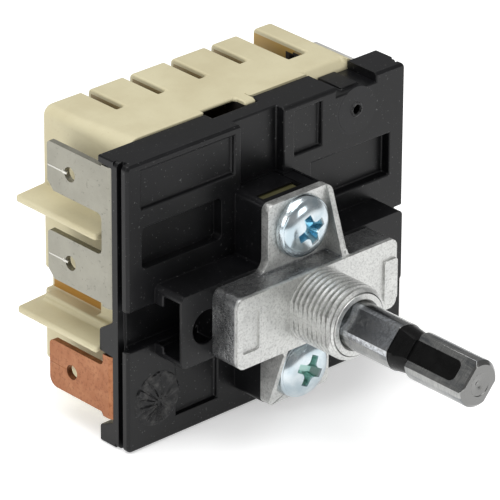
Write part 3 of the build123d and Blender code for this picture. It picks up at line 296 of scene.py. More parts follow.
    @classmethod
    def bevel(cls, piece: Piece, width: float) -> None:
        """Round the sharp edges of a simple piece, all by the same width.

        Args:
            piece: the object.
            width: bevel width in millimetres, less where there isn't room for it.
        """
        settings = {"width": mm(width), "segments": 2, "limit_method": "ANGLE"}
        cls.modify(piece, "edges", "BEVEL", angle_limit=math.radians(40), **settings)

    @staticmethod
    def distance(place: Vector, edge: Edge) -> float:
        """Distance from a place to an edge.

        Args:
            place: the place, in metres.
            edge: the edge.

        Returns:
            The shortest distance, in metres.
        """
        start, end = (vertex.co for vertex in edge.verts)
        share = intersect_point_line(place, start, end)[1]
        return (place - start.lerp(end, min(max(share, 0.0), 1.0))).length

    @staticmethod
    def turn_between(edge: Edge, near: Edge) -> float:
        """Turn from one edge to the next one of a chain, 0 where they run on straight.

        Args:
            edge: the one edge.
            near: the next one.

        Returns:
            The turn, in radians.
        """
        shared = next((v for v in edge.verts if v in near.verts), None)
        if shared is None or near is edge:
            return 0.0
        into = shared.co - edge.other_vert(shared).co
        out = near.other_vert(shared).co - shared.co
        return into.angle(out, 0.0)

    @classmethod
    def modify(cls, piece: Piece, name: str, kind: str, **settings: object) -> None:
        """Add one modifier with its settings and apply it.

        Args:
            piece: the object.
            name: the modifier's name.
            kind: its type.
            settings: its own settings, set in their order.
        """
        modifier = piece.modifiers.new(name, kind)
        for key, value in settings.items():
            setattr(modifier, key, value)
        cls.take(piece)
        bpy.ops.object.modifier_apply(modifier=modifier.name)

    @classmethod
    def combine(cls, piece: Piece, tool: Piece, operation: str = "DIFFERENCE") -> None:
        """Cut, add or intersect with a tool, which is used up.

        Args:
            piece: the object worked on.
            tool: the other object.
            operation: DIFFERENCE, UNION or INTERSECT.
        """
        cls.modify(piece, "tool", "BOOLEAN", object=tool, operation=operation, solver="EXACT")
        bpy.data.objects.remove(tool)

    @classmethod
    def line(cls, name: str, points: Sequence[Pair]) -> Piece:
        """A chain of edges drawn by extruding a point, in radius along X and depth along Y.

        Args:
            name: the object's name.
            points: radius and depth of each point, in millimetres.

        Returns:
            The chain.
        """
        cls.nothing_selected()
        bpy.ops.mesh.primitive_plane_add(size=mm(1))
        piece = bpy.context.active_object
        piece.name = name
        with cls.editing(piece):
            bpy.ops.mesh.select_all(action="SELECT")
            bpy.ops.mesh.merge(type="CENTER")
            bpy.ops.transform.translate(value=mm3(points[0][0], points[0][1], 0))
            for before, after in zip(points, points[1:]):
                step = mm3(after[0] - before[0], after[1] - before[1], 0)
                bpy.ops.mesh.extrude_region_move(TRANSFORM_OT_translate={"value": step})
        return piece

    @classmethod
    def turned(cls, name: str, points: Sequence[Pair], steps: int = 72) -> Piece:
        """A shape turned about an axis along Y.

        Args:
            name: the object's name.
            points: radius and depth of the profile, in millimetres, from the axis to the axis.
            steps: facets round it.

        Returns:
            The closed shape.
        """
        piece = cls.line(name, points)
        with cls.editing(piece):
            bpy.ops.mesh.select_all(action="SELECT")
            bpy.ops.mesh.spin(steps=steps, angle=math.tau, center=(0, 0, 0), axis=(0, 1, 0))
            cls.close_up()
        return piece

    @classmethod
    def bar(
        cls, name: str, low: Triple, high: Triple, bevel: float = 0.0, turn: Triple = (0, 0, 0)
    ) -> Piece:
        """A bar between two corners, with rounded edges.

        Args:
            name: the object's name.
            low: one corner, in millimetres.
            high: the opposite corner, in millimetres.
            bevel: how far its edges are rounded, in millimetres.
            turn: turn about its own middle, in degrees.

        Returns:
            The bar.
        """
        cls.nothing_selected()
        middle = [(a + b) / 2 for a, b in zip(low, high)]
        bpy.ops.mesh.primitive_cube_add(size=1.0, location=mm3(*middle))
        piece = bpy.context.active_object
        piece.name = name
        piece.scale = mm3(*[abs(b - a) for a, b in zip(low, high)])
        piece.rotation_euler = Euler([math.radians(part) for part in turn])
        cls.settle(piece)
        if bevel:
            with cls.editing(piece, "EDGE"):
                bpy.ops.mesh.select_all(action="SELECT")
                bpy.ops.mesh.bevel(offset=mm(bevel), segments=2, clamp_overlap=True)
        return piece

    @classmethod
    def join(cls, piece: Piece, *others: Piece) -> None:
        """Join other objects into a piece.

        Args:
            piece: the object that stays.
            others: the objects that go into it.
        """
        cls.take(piece)
        for other in others:
            other.select_set(True)
        bpy.ops.object.join()


Value = Union["Wire", Number]


class Wire:
    """One output of a shader, with the sums of a formula."""

    def __init__(self, shop: "Shader", socket: bpy.types.NodeSocket) -> None:
        """Keep the socket and the shader it belongs to."""
        self.shop = shop
        self.socket = socket

    def _sum(self, kind: str, first: Value, second: Value) -> "Wire":
        """One Math node on two values."""
        return self.shop.node("ShaderNodeMath", {"operation": kind}, {0: first, 1: second})

    def __add__(self, other: Value) -> "Wire":
        """self + other."""
        return self._sum("ADD", self, other)

    def __sub__(self, other: Value) -> "Wire":
        """self - other."""
        return self._sum("SUBTRACT", self, other)

    def __mul__(self, other: Value) -> "Wire":
        """self * other."""
        return self._sum("MULTIPLY", self, other)

    def above(self, other: Value) -> "Wire":
        """1 where self is above other, else 0."""
        return self._sum("GREATER_THAN", self, other)

    def below(self, other: Value) -> "Wire":
        """1 where self is below other, else 0."""
        return self._sum("LESS_THAN", self, other)

    def size(self) -> "Wire":
        """self without its sign."""
        return self._sum("ABSOLUTE", self, 0)

    def ramp(self, low: Number, high: Number, start: Number = 0.0, end: Number = 1.0) -> "Wire":
        """A smooth step from start to end while self goes from low to high.

        Args:
            low: where the step starts.
            high: where it ends.
            start: the value below low.
            end: the value above high.

        Returns:
            The step's wire.
        """
        settings = {"interpolation_type": "SMOOTHSTEP"}
        inputs = {0: self, 1: low, 2: high, 3: start, 4: end}
        return self.shop.node("ShaderNodeMapRange", settings, inputs)


class Shader:
    """A material being put together."""

    def __init__(self, name: str) -> None:
        """Start an empty material with its surface shader.

        Args:
            name: the material's name.
        """
        self.material = bpy.data.materials.new(name)
        self.material.use_nodes = True
        self.tree = self.material.node_tree
        self.surface = self.tree.nodes["Principled BSDF"]
        self.place = self.node("ShaderNodeTexCoord", output="Object")

    def node(
        self,
        kind: str,
        settings: dict | None = None,
        inputs: dict | None = None,
        output: Union[str, int] = 0,
    ) -> Wire:
        """Add one node.

        Args:
            kind: the node's type.
            settings: its own settings, set first.
            inputs: values or wires by socket name or number.
            output: the output that is returned.

        Returns:
            The wire of that output.
        """
        made = self.tree.nodes.new(kind)
        for key, value in (settings or {}).items():
            setattr(made, key, value)
        for key, value in (inputs or {}).items():
            self.feed(made.inputs[key], value)
        return Wire(self, made.outputs[output])

    def feed(self, socket: bpy.types.NodeSocket, value: object) -> None:
        """Give a socket a value or a link.

        Args:
            socket: the input.
            value: a wire, a number or a colour.
        """
        if isinstance(value, Wire):
            self.tree.links.new(value.socket, socket)
        elif isinstance(value, (int, float)):
            socket.default_value = value
        else:
            wanted = len(socket.default_value)
            socket.default_value = (tuple(value) + (1.0,))[:wanted]

    def set(self, **inputs: object) -> None:
        """Set inputs of the surface by name, with underscores for spaces."""
        for key, value in inputs.items():
            self.feed(self.surface.inputs[key.replace("_", " ")], value)

    def noise(
        self, scale: float, detail: float = 3.0, rough: float = 0.5, stretch: Triple | None = None
    ) -> Wire:
        """Noise over the place on the object.

        Args:
            scale: cells per metre.
            detail: octaves.
            rough: how strong the finer octaves are.
            stretch: scale along X, Y and Z.

        Returns:
            A value from 0 to 1.
        """
        place = self.place
        if stretch:
            place = self.node("ShaderNodeMapping", None, {"Vector": place, "Scale": stretch})
        inputs = {"Vector": place, "Scale": scale, "Detail": detail, "Roughness": rough}
        return self.node("ShaderNodeTexNoise", None, inputs, "Fac")

    def axis(self, letter: str) -> Wire:
        """One coordinate of the place on the object, in metres."""
        return self.node("ShaderNodeSeparateXYZ", None, {0: self.place}, letter)

    def apart(self, centre: Pair) -> Wire:
        """Square of the distance from a line along Y, given by its X and Z in millimetres.

        Args:
            centre: X and Z of the line.

        Returns:
            The square's wire, in square metres.
        """
        across, up = self.axis("X") - mm(centre[0]), self.axis("Z") - mm(centre[1])
        return across * across + up * up

    def within(self, low: Triple, high: Triple) -> Wire:
        """1 inside a box given in millimetres, else 0.

        Args:
            low: the box's lowest corner.
            high: its highest corner.

        Returns:
            The mask's wire.
        """
        mask: Value = 1.0
        for letter, first, last in zip("XYZ", low, high):
            place = self.axis(letter)
            mask = place.above(mm(first)) * place.below(mm(last)) * mask
        return mask

    def blend(self, amount: Value, first: object, second: object) -> Wire:
        """A colour between two colours.

        Args:
            amount: 0 for the first, 1 for the second.
            first: a colour or a wire.
            second: a colour or a wire.

        Returns:
            The colour's wire.
        """
        inputs = {0: amount, 6: first, 7: second}
        return self.node("ShaderNodeMix", {"data_type": "RGBA"}, inputs, 2)

    def bump(self, height: Wire, depth: float, strength: float) -> None:
        """Relief from a height.

        Args:
            height: the height, 0 to 1.
            depth: what 1 stands for, in millimetres.
            strength: how much of it is taken.
        """
        inputs = {"Height": height, "Distance": mm(depth), "Strength": strength}
        self.set(Normal=self.node("ShaderNodeBump", None, inputs, "Normal"))


class Finish:
    """A surface finish that makes its material once."""

    name = "finish"

    def __init__(self) -> None:
        """Start without a material."""
        self._made: bpy.types.Material | None = None

    def build(self, shader: Shader) -> None:
        """Add this finish's nodes."""
        raise NotImplementedError

    def on(self, piece: Piece) -> None:
        """Put the material on a piece, and make it when first asked for.

        Args:
            piece: the piece that gets it.
        """
        if self._made is None:
            shader = Shader(self.name)
            self.build(shader)
            self._made = shader.material
        piece.data.materials.clear()
        piece.data.materials.append(self._made)


class BlackMoulding(Finish):
    """Black thermoset: satin skin with faint flow marks and dust."""

    name = "black_moulding"
    front_end = 9.45
    scar_radius, lip_radius, halo_radius = 3.5, 1.0, 3.3

    def build(self, shader: Shader) -> None:
        """Near-black with mottled gloss.

        Args:
            shader: the material being put together.
        """
        cloud = shader.noise(160, 4, 0.6)
        grain = shader.noise(5200, 3, 0.6)
        dust = shader.noise(3400, 2, 0.5).ramp(0.69, 0.74)
        tone = shader.blend(cloud.ramp(0.35, 0.7), (0.0025, 0.0026, 0.003), (0.005, 0.005, 0.006))
        tone = shader.blend(dust * 0.5, tone, (0.16, 0.16, 0.16))
        scar = self.disc(shader, GATE_MARK, self.scar_radius)
        streak = shader.noise(900, 5, 0.7).ramp(0.46, 0.70)
        tone = shader.blend(scar * streak, tone, (0.045, 0.044, 0.042))
        lip = self.disc(shader, ADJUSTER, self.lip_radius)
        tone = shader.blend(lip * grain.ramp(0.35, 0.6), tone, (0.07, 0.07, 0.07))
        halo = self.disc(shader, ADJUSTER, self.halo_radius)
        tone = shader.blend(halo * cloud.ramp(0.2, 0.8, 0.15, 0.6), tone, (0.013, 0.013, 0.0145))
        rough = cloud.ramp(0.2, 0.8, 0.30, 0.42)
        shader.set(Base_Color=tone, Roughness=rough, Specular_IOR_Level=0.28)
        shader.bump(grain, 0.01, 0.35)

    def disc(self, shader: Shader, centre: Pair, radius: float) -> Wire:
        """1 within a circle on the front face, in millimetres, else 0."""
        front = shader.axis("Y").below(mm(self.front_end))
        return shader.apart(centre).below(mm(radius) ** 2) * front


class CreamMoulding(Finish):
    """Cream thermoset with a matt skin and fine specks."""

    name = "cream_moulding"
    # Both corners of a box in millimetres and the colour painted in it: painted shade, dark, brown,
    # amber or olive, where shade falls in hollows and openings.
    painted_shade_boxes = (
        # Painted shade, dark brown, inside the cavity.
        ((-16.4, 15.0, -15.0), (15.6, 27.8, 20.2), (0.018, 0.011, 0.006)),
        # Painted shade, brown, low on the walls of the slots in the top.
        ((-16.5, 15.5, 19.6), (18.0, 28.6, 21.3), (0.30, 0.22, 0.10)),
        # Painted shade, amber, on the wall of the right pocket.
        ((15.75, 21.6, 5.0), (17.2, 29.0, 21.3), (0.42, 0.26, 0.06)),
        # Painted shade, near black, at the bottom of the pocket towards its front.
        ((15.75, 18.0, 5.0), (17.2, 23.2, 20.75), (0.02, 0.015, 0.01)),
        ((12.6, 18.0, 5.0), (16.3, 21.9, 21.0), (0.02, 0.015, 0.01)),
        # Painted shade, amber, in the recess above the left fin.
        ((-18.3, 19.3, -2.5), (-16.2, 28.7, 0.5), (0.37, 0.185, 0.022)),
        # Painted shadow of the recess's front wall.
        ((-18.3, 18.9, -2.1), (-16.9, 19.3, 0.5), (0.035, 0.03, 0.02)),
        # Painted shade in the opening at the joint.
        ((-5.6, 13.0, 15.0), (3.8, 17.0, 21.45), (0.010, 0.008, 0.006)),
        # Painted shade, olive, on the tongue seen in the column's well.
        ((-4.5, 4.0, 0.0), (4.5, 14.3, 13.4), (0.05, 0.046, 0.014)),
    )

    def build(self, shader: Shader) -> None:
        """Cream with slight clouds, and painted shade in boxes round its hollows and openings.

        Args:
            shader: the material being put together.
        """
        cloud = shader.noise(120, 4, 0.6)
        speck = shader.noise(3200, 3, 0.5).ramp(0.62, 0.72)
        tone = shader.blend(cloud.ramp(0.3, 0.7), (0.53, 0.475, 0.305), (0.59, 0.54, 0.36))
        tone = shader.blend(speck * 0.25, tone, (0.46, 0.37, 0.22))
        # Painted shade: each box gets its dark, amber or olive colour where shade falls.
        for low, high, colour in self.painted_shade_boxes:
            tone = shader.blend(shader.within(low, high), tone, colour)
        shader.set(Base_Color=tone, Roughness=cloud.ramp(0.2, 0.8, 0.48, 0.62))
        shader.bump(shader.noise(2400, 3, 0.6), 0.012, 0.4)


class CastZinc(Finish):
    """Zinc die-casting: grey skin with flow marks and fine pits."""

    name = "cast_zinc"
    # How deep and how high the painted shade (darker colour) and the smoother skin behind the
    # cross-bar begin and are whole.
    behind_depths = mm(0.2), mm(0.7)
    bar_heights = mm(4.75), mm(5.1)

    def build(self, shader: Shader) -> None:
        """Grey metal with a speckled skin; behind the front faces, painted shade (a darker colour)
        and a smoother, folded skin.

        Args:
            shader: the material being put together.
        """
        flow = shader.noise(420, 5, 0.65)
        pit = shader.noise(3000, 4, 0.75)
        grain = shader.noise(6500, 2, 0.6)
        tone = shader.blend(flow.ramp(0.3, 0.72), (0.56, 0.565, 0.55), (0.68, 0.685, 0.665))
        tone = shader.blend(pit.ramp(0.45, 0.66) * 0.6, tone, (0.27, 0.27, 0.265))
        tone = shader.blend(grain.ramp(0.56, 0.7) * 0.35, tone, (0.85, 0.85, 0.84))
        bar = shader.axis("Z").size().ramp(*self.bar_heights, 1.0, 0.0)
        # Painted shade: behind the front faces the colour is darkened to stand in for the dark
        # reflection of the black plate; the skin there is also smoother.
        behind = shader.axis("Y").ramp(*self.behind_depths) * bar
        tone = shader.blend(behind * pit.ramp(0.4, 0.62, 0.95, 0.45), tone, (0.19, 0.195, 0.205))
        rough = flow.ramp(0.25, 0.75, 0.34, 0.48) + behind * -0.14
        shader.set(Base_Color=tone, Metallic=0.9, Roughness=rough)
        fold = shader.noise(900, 4, 0.6) * behind
        shader.bump(pit + flow * 0.3 + grain * 0.4 + fold * 2.5, 0.05, 0.7)


class BlueZinc(Finish):
    """Bright zinc plating with a blue cast, stronger down in the cross."""

    name = "blue_zinc"
    recess_radius = 2.6
    # How the head falls away with the square of the radius, and the depths of the cross on it.
    dome_fall = 38.0
    recess_depths = mm(1.14), mm(1.3)

    def __init__(self, height: float, recess: Triple) -> None:
        """Keep the screw's height in millimetres and the tint in its recess."""
        super().__init__()
        self.height, self.recess = height, recess

    def build(self, shader: Shader) -> None:
        """Pale blue metal.

        Args:
            shader: the material being put together.
        """
        cloud = shader.noise(500, 3, 0.5)
        tone = shader.blend(cloud.ramp(0.3, 0.7), (0.46, 0.55, 0.60), (0.66, 0.72, 0.75))
        square = shader.apart((0.0, self.height))
        near = square.below(mm(self.recess_radius) ** 2)
        deep = (shader.axis("Y") - square * self.dome_fall).ramp(*self.recess_depths)
        tone = shader.blend(near * deep, tone, self.recess)
        shader.set(Base_Color=tone, Metallic=1.0, Roughness=cloud.ramp(0.2, 0.8, 0.16, 0.26))
        shader.bump(shader.noise(1500, 2, 0.5), 0.006, 0.4)


class GroundSteel(Finish):
    """Bright ground steel."""

    name = "ground_steel"
    end_face, root_end, flat_out = -27.2, -14.9, 2.1

    def build(self, shader: Shader) -> None:
        """Shiny metal with fine lines round the axis, dull streaks along it and painted light on
        the flat at its root.

        Args:
            shader: the material being put together.
        """
        lines = shader.noise(900, 3, 0.6, (1.0, 14.0, 1.0))
        streak = shader.noise(700, 4, 0.7, (1.0, 0.16, 1.0))
        speck = shader.noise(2600, 3, 0.7)
        tone = shader.blend(lines.ramp(0.3, 0.7), (0.27, 0.275, 0.27), (0.42, 0.42, 0.41))
        along = shader.axis("Y")
        side = along.above(mm(self.end_face))
        tone = shader.blend(side, (0.21, 0.21, 0.205), tone)
        tone = shader.blend(side * streak.ramp(0.42, 0.62) * 0.75, tone, (0.11, 0.122, 0.138))
        lean = math.radians(FLATS_LEAN)
        aside = shader.axis("Z") * math.sin(lean) + shader.axis("X") * math.cos(lean)
        # Painted light: the root of the shaft above the flat gets a lighter mottled colour where
        # the flat lies in shade.
        root_painted_light = along.above(mm(self.root_end)) * aside.above(mm(self.flat_out))
        tone = shader.blend(root_painted_light * speck.ramp(0.4, 0.6, 0.95, 0.35), tone, (0.56, 0.585, 0.615))
        shader.set(Base_Color=tone, Metallic=1.0, Roughness=speck.ramp(0.2, 0.8, 0.12, 0.28))
        shader.bump(lines + speck * 0.5, 0.006, 0.5)


class BlackClip(Finish):
    """Blackened spring strip."""

    name = "black_clip"

    def build(self, shader: Shader) -> None:
        """Black, satin.

        Args:
            shader: the material being put together.
        """
        cloud = shader.noise(900, 3, 0.5)
        tone = shader.blend(cloud, (0.002, 0.002, 0.002), (0.005, 0.005, 0.005))
        rough = cloud.ramp(0.2, 0.8, 0.24, 0.34)
        shader.set(Base_Color=tone, Roughness=rough, Specular_IOR_Level=0.12)


class PlatedSheet(Finish):
    """Plated sheet metal with rolling marks and small scratches."""

    name = "plated_sheet"

    def build(self, shader: Shader) -> None:
        """Warm silver, satin, with painted highlights on the score lines, the burrs and a top rim.

        Args:
            shader: the material being put together.
        """
        cloud = shader.noise(260, 4, 0.6)
        line = shader.noise(1500, 3, 0.6, (1.0, 0.12, 1.0))
        speck = shader.noise(2200, 3, 0.6).ramp(0.60, 0.72)
        tone = shader.blend(cloud.ramp(0.3, 0.7), (0.28, 0.272, 0.23), (0.34, 0.33, 0.28))
        tone = shader.blend(speck * 0.55, tone, (0.14, 0.135, 0.115))
        for top in TAB_TOPS[:2]:
            low, high = (top - TAB_WIDTH / 2 + side for side in (-0.1, 0.1))
            # Painted highlight: the score lines and the burrs at the holes are coloured bright as
            # if catching the light.
            scored = shader.within((-22.2, 20.75, low), (-21.9, 23.6, high))
            burr = shader.within((-22.4, 20.0, low - 0.1), (-21.6, 20.95, high + 0.12))
            tone = shader.blend((scored + burr) * 0.85, tone, (0.70, 0.69, 0.64))
        # Painted highlight: a bright band along a top edge of the right terminal.
        rim = shader.within((20.0, 15.0, 20.3), (22.5, 30.0, 20.6))
        tone = shader.blend(rim * 0.9, tone, (0.93, 0.92, 0.88))
        shader.set(Base_Color=tone, Metallic=0.85, Roughness=cloud.ramp(0.2, 0.8, 0.36, 0.48))
        shader.bump(line + speck + cloud * 0.5, 0.015, 0.6)


class CopperSheet(Finish):
    """Bare copper sheet, slightly tarnished."""

    name = "copper_sheet"

    def build(self, shader: Shader) -> None:
        """Orange-brown metal with darker clouds.

        Args:
            shader: the material being put together.
        """
        cloud = shader.noise(380, 5, 0.65)
        fleck = shader.noise(2300, 3, 0.65).ramp(0.50, 0.66)
        tone = shader.blend(cloud.ramp(0.3, 0.75), (0.30, 0.118, 0.055), (0.42, 0.195, 0.10))
        tone = shader.blend(fleck * 0.45, tone, (0.16, 0.05, 0.025))
        shader.set(Base_Color=tone, Metallic=0.9, Roughness=cloud.ramp(0.2, 0.8, 0.32, 0.46))
        shader.bump(cloud, 0.01, 0.5)


class PlainFinish(Finish):
    """An inner piece's finish: a colour with slight clouds."""

    def __init__(self, name: str, colour: Triple, metallic: float, roughness: float) -> None:
        """Keep the material's name, its colour and how metallic and rough it is.

        Args:
            name: the material's name.
            colour: its colour.
            metallic: how metallic it is, 0 to 1.
            roughness: how rough it is, 0 to 1.
        """
        super().__init__()
        self.name = name
        self.colour, self.metallic, self.roughness = colour, metallic, roughness

    def build(self, shader: Shader) -> None:
        """The colour, a little darker in the clouds.

        Args:
            shader: the material being put together.
        """
        cloud = shader.noise(700, 3, 0.5).ramp(0.3, 0.7)
        dark = tuple(0.75 * part for part in self.colour)
        shader.set(
            Base_Color=shader.blend(cloud, dark, self.colour),
            Metallic=self.metallic,
            Roughness=cloud * 0.12 + (self.roughness - 0.06),
        )


@dataclass
class Case:
    """The black base and the cream housing."""

    black: Finish
    cream: Finish
    black_edge: float = 0.24
    cream_edge: float = 0.5
    face: float = 9.3
    line_x: float = -7.0
    top: float = 21.7
    wall_front: float = 14.55
    wall_back: float = 23.5
    wall_step: float = 0.4
    # The middle of the round corner in front of the step, its radius and the outer one's, and
    # how far it moves to lie on the outer one.
    corner: Triple = (-15.55, 23.5, 19.6)
    corner_radii: Pair = (2.3, 1.4)
    corner_shift: Triple = (-1.3, 0.0, 0.9)
    scar_radius: float = 3.55
    scar_heart: Triple = (0.65, 0.0, -0.75)
    # Turn and half width in degrees, first and last distance and rise in millimetres.
    petals: tuple[tuple[float, ...], ...] = (
        (104, 11, 0.5, 4.2, 0.20), (128, 7, 0.8, 4.4, 0.12), (146, 6, 0.7, 4.5, 0.24),
        (163, 7, 0.9, 3.6, 0.14), (181, 5, 0.6, 3.2, 0.20), (199, 6, 0.8, 2.9, 0.10),
        (216, 4, 0.6, 2.8, 0.18), (233, 4, 0.5, 2.6, 0.12), (251, 4, 0.4, 2.6, 0.18),
        (272, 5, 0.1, 2.5, 0.26), (293, 4, 0.4, 2.4, 0.12), (318, 5, 0.5, 2.6, 0.10),
        (350, 9, 0.6, 3.0, 0.08), (30, 12, 0.8, 3.6, 0.12), (66, 10, 0.9, 4.0, 0.10),
    )

    def build(self) -> None:
        """Make both mouldings."""
        base = Bench.copy_of("front_base", "base_moulding")
        line, face, top, rear = self.line_x, self.face, self.top, self.wall_front
        groove = (line - 0.05, face - 0.5, top - 0.08), (line + 0.05, rear + 0.05, top + 1)
        filler = (line - 0.35, face + 0.3, top - 0.3), (line + 0.35, rear, top)
        Bench.combine(base, Bench.bar("filler", *filler), "UNION")
        Bench.tidy(base)
        Bench.soften(base, self.black_edge, share=self.base_share)
        Bench.combine(base, Bench.bar("groove", *groove))
        hand_over(base, self.black, Body.CASE, "front_base")
        housing = Bench.copy_of("rear_housing", "housing_moulding")
        self.slope_wall(housing)
        Bench.soften(housing, self.cream_edge, 4, self.housing_share)
        hand_over(housing, self.cream, Body.CASE, "rear_housing")
        for mark in (self.gate_scar(), self.pin_ring()):
            Bench.finish(mark)
            self.black.on(mark)
            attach(mark, Body.CASE.value)

    @staticmethod
    def base_share(at: Vector) -> float:
        """Leave the seam behind the slab and the thin rim of the column's well as they are.

        Args:
            at: the middle of an edge, in millimetres.

        Returns:
            The share of the bevel's width.
        """
        seam = abs(at.y - 11.9) < 0.3
        well = abs(at.z - 13.25) < 0.3 and -5 < at.x < 5 and at.y < 11
        return 0.0 if seam or well else 1.0

    def housing_share(self, at: Vector) -> float:
        """Leave the edges at the back end of the side walls' step as they are."""
        return 0.0 if abs(at.y - self.wall_back) < 0.3 else 1.0

    def slope_wall(self, housing: Piece) -> None:
        """Turn the small step in the housing's left wall into a slow slope.

        Args:
            housing: the merged copy of the housing.
        """
        centre, (inner, outer) = mm3(*self.corner), self.corner_radii
        wall = self.corner[0] - inner

        def on_arc(at: Vector) -> bool:
            """True for the rounded corner in front of the step.

            Args:
                at: a vertex's place.

            Returns:
                Whether it is on the arc.
            """
            reach = at - centre
            corner = reach.x < mm(0.01) and reach.z > mm(-0.01)
            radius = math.hypot(reach.x, reach.z)
            return corner and abs(reach.y) < mm(0.01) and abs(radius - mm(inner)) < mm(0.02)

        def on_wall(at: Vector) -> bool:
            """True for the flat wall at the depth of this round of the loop.

            Args:
                at: a vertex's place.

            Returns:
                Whether it is on the wall.
            """
            flat = abs(at.x - mm(wall)) < mm(0.01) and at.z < mm(19.5)
            return flat and abs(at.y - mm(depth)) < mm(0.02)

        with Bench.editing(housing):
            Bench.pick_vertices(housing, on_arc)
            share = outer / inner
            bpy.ops.transform.resize(value=(share, 1, share), center_override=centre)
            bpy.ops.transform.translate(value=mm3(*self.corner_shift))
            for depth in (16.05, 19.1, self.wall_back):
                part = (depth - self.wall_front) / (self.wall_back - self.wall_front)
                Bench.pick_vertices(housing, on_wall)
                bpy.ops.transform.translate(value=mm3(-self.wall_step * part, 0, 0))
            bpy.ops.mesh.select_all(action="SELECT")
            bpy.ops.mesh.remove_doubles(threshold=mm(0.05))

    def gate_scar(self) -> Piece:
        """The rough round mark at the lower left, where the moulding was fed.

        Returns:
            The mark.
        """
        radius, rings = self.scar_radius, 22
        profile = [(radius * step / rings, -0.02) for step in range(rings)]
        profile += [(radius, 0.0), (radius, 0.2)]
        mark = Bench.turned("gate_scar", profile, 120)
        heart = mm3(*self.scar_heart)

        def on_petal(at: Vector) -> bool:
            """True for a place on the petal of this round of the loop.

            Args:
                at: a vertex's place.

            Returns:
                Whether it is on the petal.
            """
            reach = at - heart
            off = abs((Bench.lean(reach) - turn + 180) % 360 - 180)
            inside = at.y < mm(0.02) and at.length < mm(radius - 0.1)
            return inside and off < half and mm(first) < reach.length < mm(last)

        with Bench.editing(mark):
            for turn, half, first, last, rise in self.petals:
                Bench.pick_vertices(mark, on_petal)
                bpy.ops.transform.translate(value=mm3(0, -0.7 * rise, 0))
        texture = bpy.data.textures.new("scar_grain", "STUCCI")
        texture.noise_scale = mm(0.7)
        settings = {"texture": texture, "texture_coords": "LOCAL", "direction": "Y"}
        Bench.modify(mark, "grain", "DISPLACE", strength=mm(0.12), mid_level=0.6, **settings)
        mark.location = mm3(GATE_MARK[0], self.face, GATE_MARK[1])
        return mark

    def pin_ring(self) -> Piece:
        """The small lip round the adjusting hole and the faint disc round it.

        Returns:
            The lip and the disc in one piece.
        """
        lip = [(0.66, 0.1), (0.67, -0.16), (0.76, -0.22), (0.88, -0.16), (0.98, -0.02)]
        ring = Bench.turned("adjuster_ring", lip + [(3.0, -0.015), (3.1, 0.1)])
        ring.location = mm3(ADJUSTER[0], self.face, ADJUSTER[1])
        return ring


